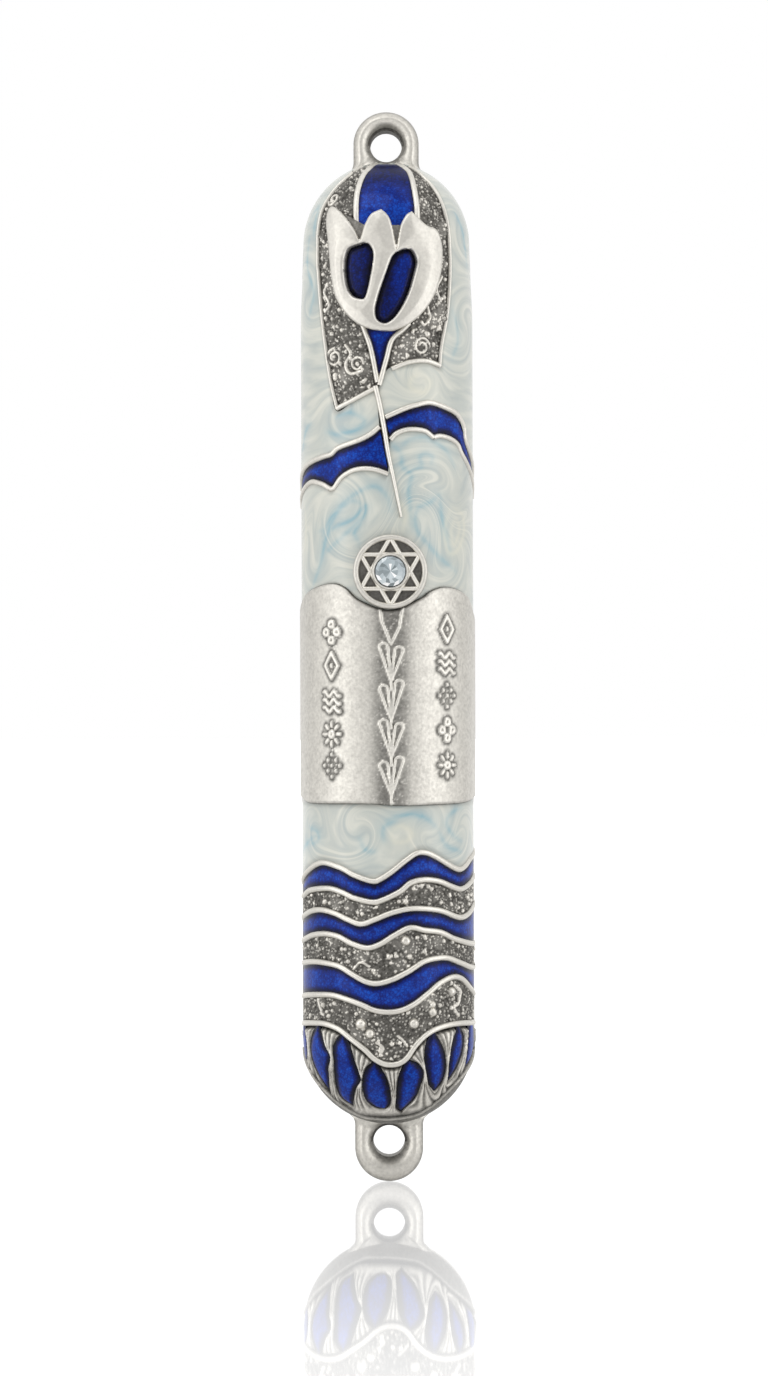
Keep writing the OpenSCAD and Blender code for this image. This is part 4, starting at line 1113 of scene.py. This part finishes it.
boss = [(0.0, -10.6), (0.0, floor_y)]
boss += [(r, floor_y) for r in (0.8, 1.6, 2.4, 3.2)] + [(medal_r - 0.02, floor_y), (medal_r - 0.02, -10.6)]
ring_profiles = [boss, arch_profile(medal_r - 0.62, medal_r, -10.4, face_y),
                 arch_profile(stone_r - 0.02, 1.95, floor_y + 0.1, bezel_y)]
parts = []
for profile in ring_profiles:
    body = turned(profile + profile[:1])
    high = (floor_y - body[..., 1]) / (floor_y - face_y)
    parts.append((body, grid_quads(*high.shape), 0.22 + 0.62 * smoothstep(high * 1.2 - 0.1)))
bars = []
for turn in range(6):
    first, second = (math.radians(60 * turn + step) for step in (0, 120))
    ends = np.array([[medal_x + rim_r * math.sin(a), floor_y, medal_z + rim_r * math.cos(a)]
                     for a in (first, second)])
    path = ends[0] + (ends[1] - ends[0]) * np.linspace(0.0, 1.0, 12)[:, None]
    bars.append(bead(path, np.broadcast_to([0.0, -1.0, 0.0], path.shape), bar_half, 0.46, 0.1))
points, quads, wear = join_grids(parts + [join_tubes(bars)])
medallion = make_piece("medallion", points, quads, bright_pewter, wear=wear)
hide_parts("star_medallion")
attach(medallion, "case")


def foiled_crystal():
    """Clear foiled glass: each facet is painted a tone of its own, from slate to white, a painted
    reflection of the room.
    """
    material, shader, node, wire = new_material("foiled_crystal")
    tone = node("Attribute", attribute_name="facet").outputs["Fac"]
    wire("Base Color", ramp(node, tone, (0.0, (0.16, 0.19, 0.2)), (0.4, (0.4, 0.46, 0.49)),
                            (0.75, (0.66, 0.72, 0.74)), (1.0, (1.0, 1.0, 1.0))))
    shader.inputs["Roughness"].default_value = 0.2
    shader.inputs["Coat Weight"].default_value = 0.5
    shader.inputs["Coat Roughness"].default_value = 0.03
    return material


def brilliant():
    """A round brilliant: rings of 16 points at the pavilion's tip, the girdle, the break and the
    table, each ring after the girdle turned half a step against the last."""
    rings = [(0.0, -12.05, 0.0), (stone_r - 0.02, -12.75, 0.5), (stone_r - 0.02, -12.85, 0.5),
             (0.78 * stone_r, -13.1, 0.0), (0.5 * stone_r, -13.2, 0.5), (0.0, -13.24, 0.0)]
    turn = np.arange(17) % 16
    rows = []
    for r, y, shift in rings:
        a = 2 * math.pi * (turn + shift) / 16
        rows.append(np.stack([medal_x + r * np.sin(a), 0 * a + y, medal_z + r * np.cos(a)], -1))
    return np.array(rows)


grid = brilliant()
stone = make_piece("round_crystal", grid, grid_quads(*grid.shape[:2]), foiled_crystal(), sharp=1)
stone.data.polygons.foreach_set("use_smooth", np.zeros(len(stone.data.polygons), dtype=bool))
# Painted reflections: each facet gets a random tone, and one in five is pure white as a painted glint.
painted_facet_reflections = stone.data.attributes.new("facet", "FLOAT", "FACE")
draw = np.random.default_rng(8).random(len(stone.data.polygons))
painted_facet_reflections.data.foreach_set("value", np.where(draw > 0.8, 1.0, draw))
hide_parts("crystal")
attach(stone, "case")


# ---------------------------------------------------------------------------------------------
# The back cover: a plate of satin brushed sheet pressed into the rebate, its edges broken so that a
# fingernail can lift it.
cover_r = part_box("back_cover")[1][0] / mm


def brushed_sheet():
    """Brushed aluminium: long fine scratches up the sheet, drawn by stretched noise."""
    material, shader, node, wire = new_material("brushed_sheet")
    place = node("TexCoord").outputs["Object"]
    drawn = node("Mapping", {"Vector": place, "Scale": (9000, 9000, 160)}).outputs["Vector"]
    scratch = node("TexNoise", {"Vector": drawn, "Scale": 1.0, "Detail": 3}).outputs["Fac"]
    smudge = node("TexNoise", {"Vector": place, "Scale": 160, "Detail": 3}).outputs["Fac"]
    wire("Base Color", ramp(node, scratch, (0.3, (0.44, 0.45, 0.46)), (0.7, (0.66, 0.66, 0.67))))
    gloss = node("MapRange", {"Value": smudge, "To Min": 0.24, "To Max": 0.46}).outputs["Result"]
    wire("Roughness", gloss)
    bump = node("Bump", {"Height": scratch, "Strength": 0.25, "Distance": 0.008 * mm})
    wire("Normal", bump.outputs["Normal"])
    shader.inputs["Metallic"].default_value = 0.95
    return material


def cover_plate():
    """The plate as rings shrunk from its outline, straight sides between two half circles: round the
    broken edges and in across both faces to the middle line."""
    turn = np.linspace(0, 2 * math.pi, 241)[:, None] % (2 * math.pi)
    rings = [(0.0, -0.5), (0.04, -0.9), (0.14, -1.0)] + [(r, -1.0) for r in np.linspace(1, cover_r, 9)]
    rings += [(r, -0.001) for r in np.linspace(cover_r, 1, 9)]
    rings += [(0.14, -0.001), (0.04, -0.1), (0.0, -0.5)]
    inset, y = np.array(rings).T
    half_turn = np.where(np.cos(turn) >= 0, rebate_top, rebate_foot)
    x = (cover_r - inset) * np.sin(turn)
    z = half_turn + (cover_r - inset) * np.cos(turn)
    return np.stack([x, y + 0 * x, z], -1)


points = cover_plate()
cover = make_piece("cover_plate", points, grid_quads(*points.shape[:2]), brushed_sheet(), sharp=40)
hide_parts("back_cover")
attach(cover, "cover")


# ---------------------------------------------------------------------------------------------
# The scroll: a strip of scraped parchment rolled up tight, blank outside, that lies loose in the
# cavity behind the tablets.
scroll_low, scroll_high = np.array(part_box("scroll")) / mm
scroll_x, scroll_y = (scroll_low[:2] + scroll_high[:2]) / 2
scroll_r = scroll_high[0] - 0.02
scroll_core = 0.9
sheet_d = 0.2
scroll_turns = 8


def parchment():
    """Parchment: warm cream, clouded, with fine follicle grain and a matt scraped bump."""
    material, shader, node, wire = new_material("scraped_parchment")
    place = node("TexCoord").outputs["Object"]
    cloud = node("TexNoise", {"Vector": place, "Scale": 220, "Detail": 4}).outputs["Fac"]
    grain = node("TexNoise", {"Vector": place, "Scale": 3800, "Detail": 3}).outputs["Fac"]
    wire("Base Color", ramp(node, cloud, (0.3, (0.6, 0.47, 0.3)), (0.55, (0.72, 0.61, 0.43)),
                            (0.75, (0.8, 0.72, 0.55))))
    bump = node("Bump", {"Height": grain, "Strength": 0.5, "Distance": 0.03 * mm})
    wire("Normal", bump.outputs["Normal"])
    shader.inputs["Roughness"].default_value = 0.72
    return material


def rolled_sheet():
    """A sheet of even thickness along a spiral, its radius growing evenly with the turn, drawn out
    to the scroll's length; the sheet's edge wanders a little along the ends."""
    turn = np.linspace(0, 2 * math.pi * scroll_turns, 48 * scroll_turns + 1)
    r = scroll_core + (scroll_r - scroll_core) * turn / turn[-1]
    ragged = 0.12 * np.sin(turn * 0.37) + 0.08 * np.sin(turn * 1.1 + 1)
    length = scroll_high[2] - scroll_low[2] - 0.5
    body = []
    for inset, share in ((0.0, 0.0), (0.0, 0.5), (0.0, 1.0),
                         (sheet_d, 1.0), (sheet_d, 0.5), (sheet_d, 0.0)):
        x = scroll_x + (r - inset) * np.cos(turn)
        y = scroll_y + (r - inset) * np.sin(turn)
        body.append(np.stack([x, y, scroll_low[2] + 0.25 + ragged + share * length], -1))
    body = np.stack(body, 1)
    first = np.broadcast_to(body[:1].mean(1, keepdims=True), body[:1].shape)
    last = np.broadcast_to(body[-1:].mean(1, keepdims=True), body[:1].shape)
    return np.concatenate([first, body, last])


points = rolled_sheet()
scroll = make_piece("parchment_roll", points, tube_quads(*points.shape[:2]), parchment(), sharp=40)
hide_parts("scroll")
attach(scroll, "rolled_scroll")


# ---------------------------------------------------------------------------------------------
# The studio: a white glossy floor just under the lower ear, faint softboxes on both sides and above,
# a white room, and a long lens square on to the case.
def flat_panel(name, centre, across, up, material):
    """A flat four-cornered panel about a centre, spanned by two half-edges."""
    centre, across, up = (np.array(v, dtype=float) for v in (centre, across, up))
    corners = [centre - across - up, centre + across - up, centre + across + up, centre - across + up]
    mesh = bpy.data.meshes.new(name)
    mesh.from_pydata([tuple(c) for c in corners], [], [(0, 1, 2, 3)])
    mesh.materials.append(material)
    panel = bpy.data.objects.new(name, mesh)
    bpy.context.scene.collection.objects.link(panel)


def softbox(name, place, target, size_x, size_y, power):
    """An area light at place, turned to face target."""
    light = bpy.data.lights.new(name, "AREA")
    light.shape = "RECTANGLE"
    light.size, light.size_y = size_x, size_y
    light.energy = power
    lamp = bpy.data.objects.new(name, light)
    lamp.location = place
    aim = np.array(target) - np.array(place)
    lamp.rotation_euler = (math.atan2(math.hypot(aim[0], aim[1]), -aim[2]), 0, math.atan2(-aim[0], aim[1]))
    bpy.context.scene.collection.objects.link(lamp)


floor_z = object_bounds()[0][2] - 0.0001
floor_paint, floor_shader, node, wire = new_material("floor_paint")
floor_shader.inputs["Base Color"].default_value = (0.25, 0.25, 0.25, 1)
floor_shader.inputs["Metallic"].default_value = 1.0
floor_shader.inputs["Roughness"].default_value = 0.03
floor_shader.inputs["Emission Color"].default_value = (1, 1, 1, 1)
depth = node("SeparateXYZ", {0: node("TexCoord").outputs["Object"]}).outputs["Y"]
glow = node("MapRange", {"Value": depth, "From Min": -0.045, "From Max": -0.105, "To Min": 0.55,
                         "To Max": 0.85})
wire("Emission Strength", glow.outputs["Result"])
flat_panel("floor", (0, 0, floor_z), (3, 0, 0), (0, 3, 0), floor_paint)

softbox("left_softbox", (-0.4, -0.2, 0.05), (0, 0, 0), 0.12, 0.5, 0.16)
softbox("right_softbox", (0.4, -0.2, 0.05), (0, 0, 0), 0.12, 0.5, 0.16)
softbox("top_light", (-0.1, -0.25, 0.45), (0, 0, 0), 0.3, 0.2, 0.3)


def studio_air():
    """The room's light by compass direction from the lens: dim behind the lens, bright to both sides,
    fair behind the case; the lens itself sees plain white."""
    world = bpy.data.worlds.new("studio_air")
    world.use_nodes = True
    nodes, links = world.node_tree.nodes, world.node_tree.links
    way = nodes.new("ShaderNodeSeparateXYZ")
    links.new(nodes.new("ShaderNodeTexCoord").outputs["Generated"], way.inputs[0])
    aside = nodes.new("ShaderNodeMath")
    aside.operation = "ABSOLUTE"
    links.new(way.outputs["X"], aside.inputs[0])
    front = nodes.new("ShaderNodeMath")
    front.operation = "MULTIPLY"
    front.inputs[1].default_value = -1
    links.new(way.outputs["Y"], front.inputs[0])
    turn = nodes.new("ShaderNodeMath")
    turn.operation = "ARCTAN2"
    links.new(aside.outputs[0], turn.inputs[0])
    links.new(front.outputs[0], turn.inputs[1])
    share = nodes.new("ShaderNodeMapRange")
    share.inputs["From Max"].default_value = math.pi
    links.new(turn.outputs[0], share.inputs["Value"])
    tone = nodes.new("ShaderNodeValToRGB")
    links.new(share.outputs["Result"], tone.inputs["Fac"])
    stops = ((0.0, 0.55), (0.15, 0.6), (0.27, 1.4), (0.48, 1.25), (0.6, 0.75), (0.9, 1.0))
    marks = tone.color_ramp.elements
    while len(marks) < len(stops):
        marks.new(0.5)
    for mark, (place, grey) in zip(marks, stops):
        mark.position = place
        mark.color = (grey, grey, grey, 1)
    room = nodes["Background"]
    links.new(tone.outputs["Color"], room.inputs["Color"])
    white = nodes.new("ShaderNodeBackground")
    mix = nodes.new("ShaderNodeMixShader")
    links.new(nodes.new("ShaderNodeLightPath").outputs["Is Camera Ray"], mix.inputs[0])
    links.new(room.outputs[0], mix.inputs[1])
    links.new(white.outputs[0], mix.inputs[2])
    white.inputs["Color"].default_value = (1, 1, 1, 1)
    links.new(mix.outputs[0], nodes["World Output"].inputs["Surface"])
    return world


bpy.context.scene.world = studio_air()
bpy.context.scene.view_settings.view_transform = "Standard"

lens = bpy.data.cameras.new("camera")
lens.lens = 84.75
lens.clip_end = 20
camera = bpy.data.objects.new("camera", lens)
camera.location = (-0.402 * mm, -0.35, -4.765 * mm)
camera.rotation_euler = (math.pi / 2, math.radians(0.18), 0)
bpy.context.scene.collection.objects.link(camera)
bpy.context.scene.camera = camera
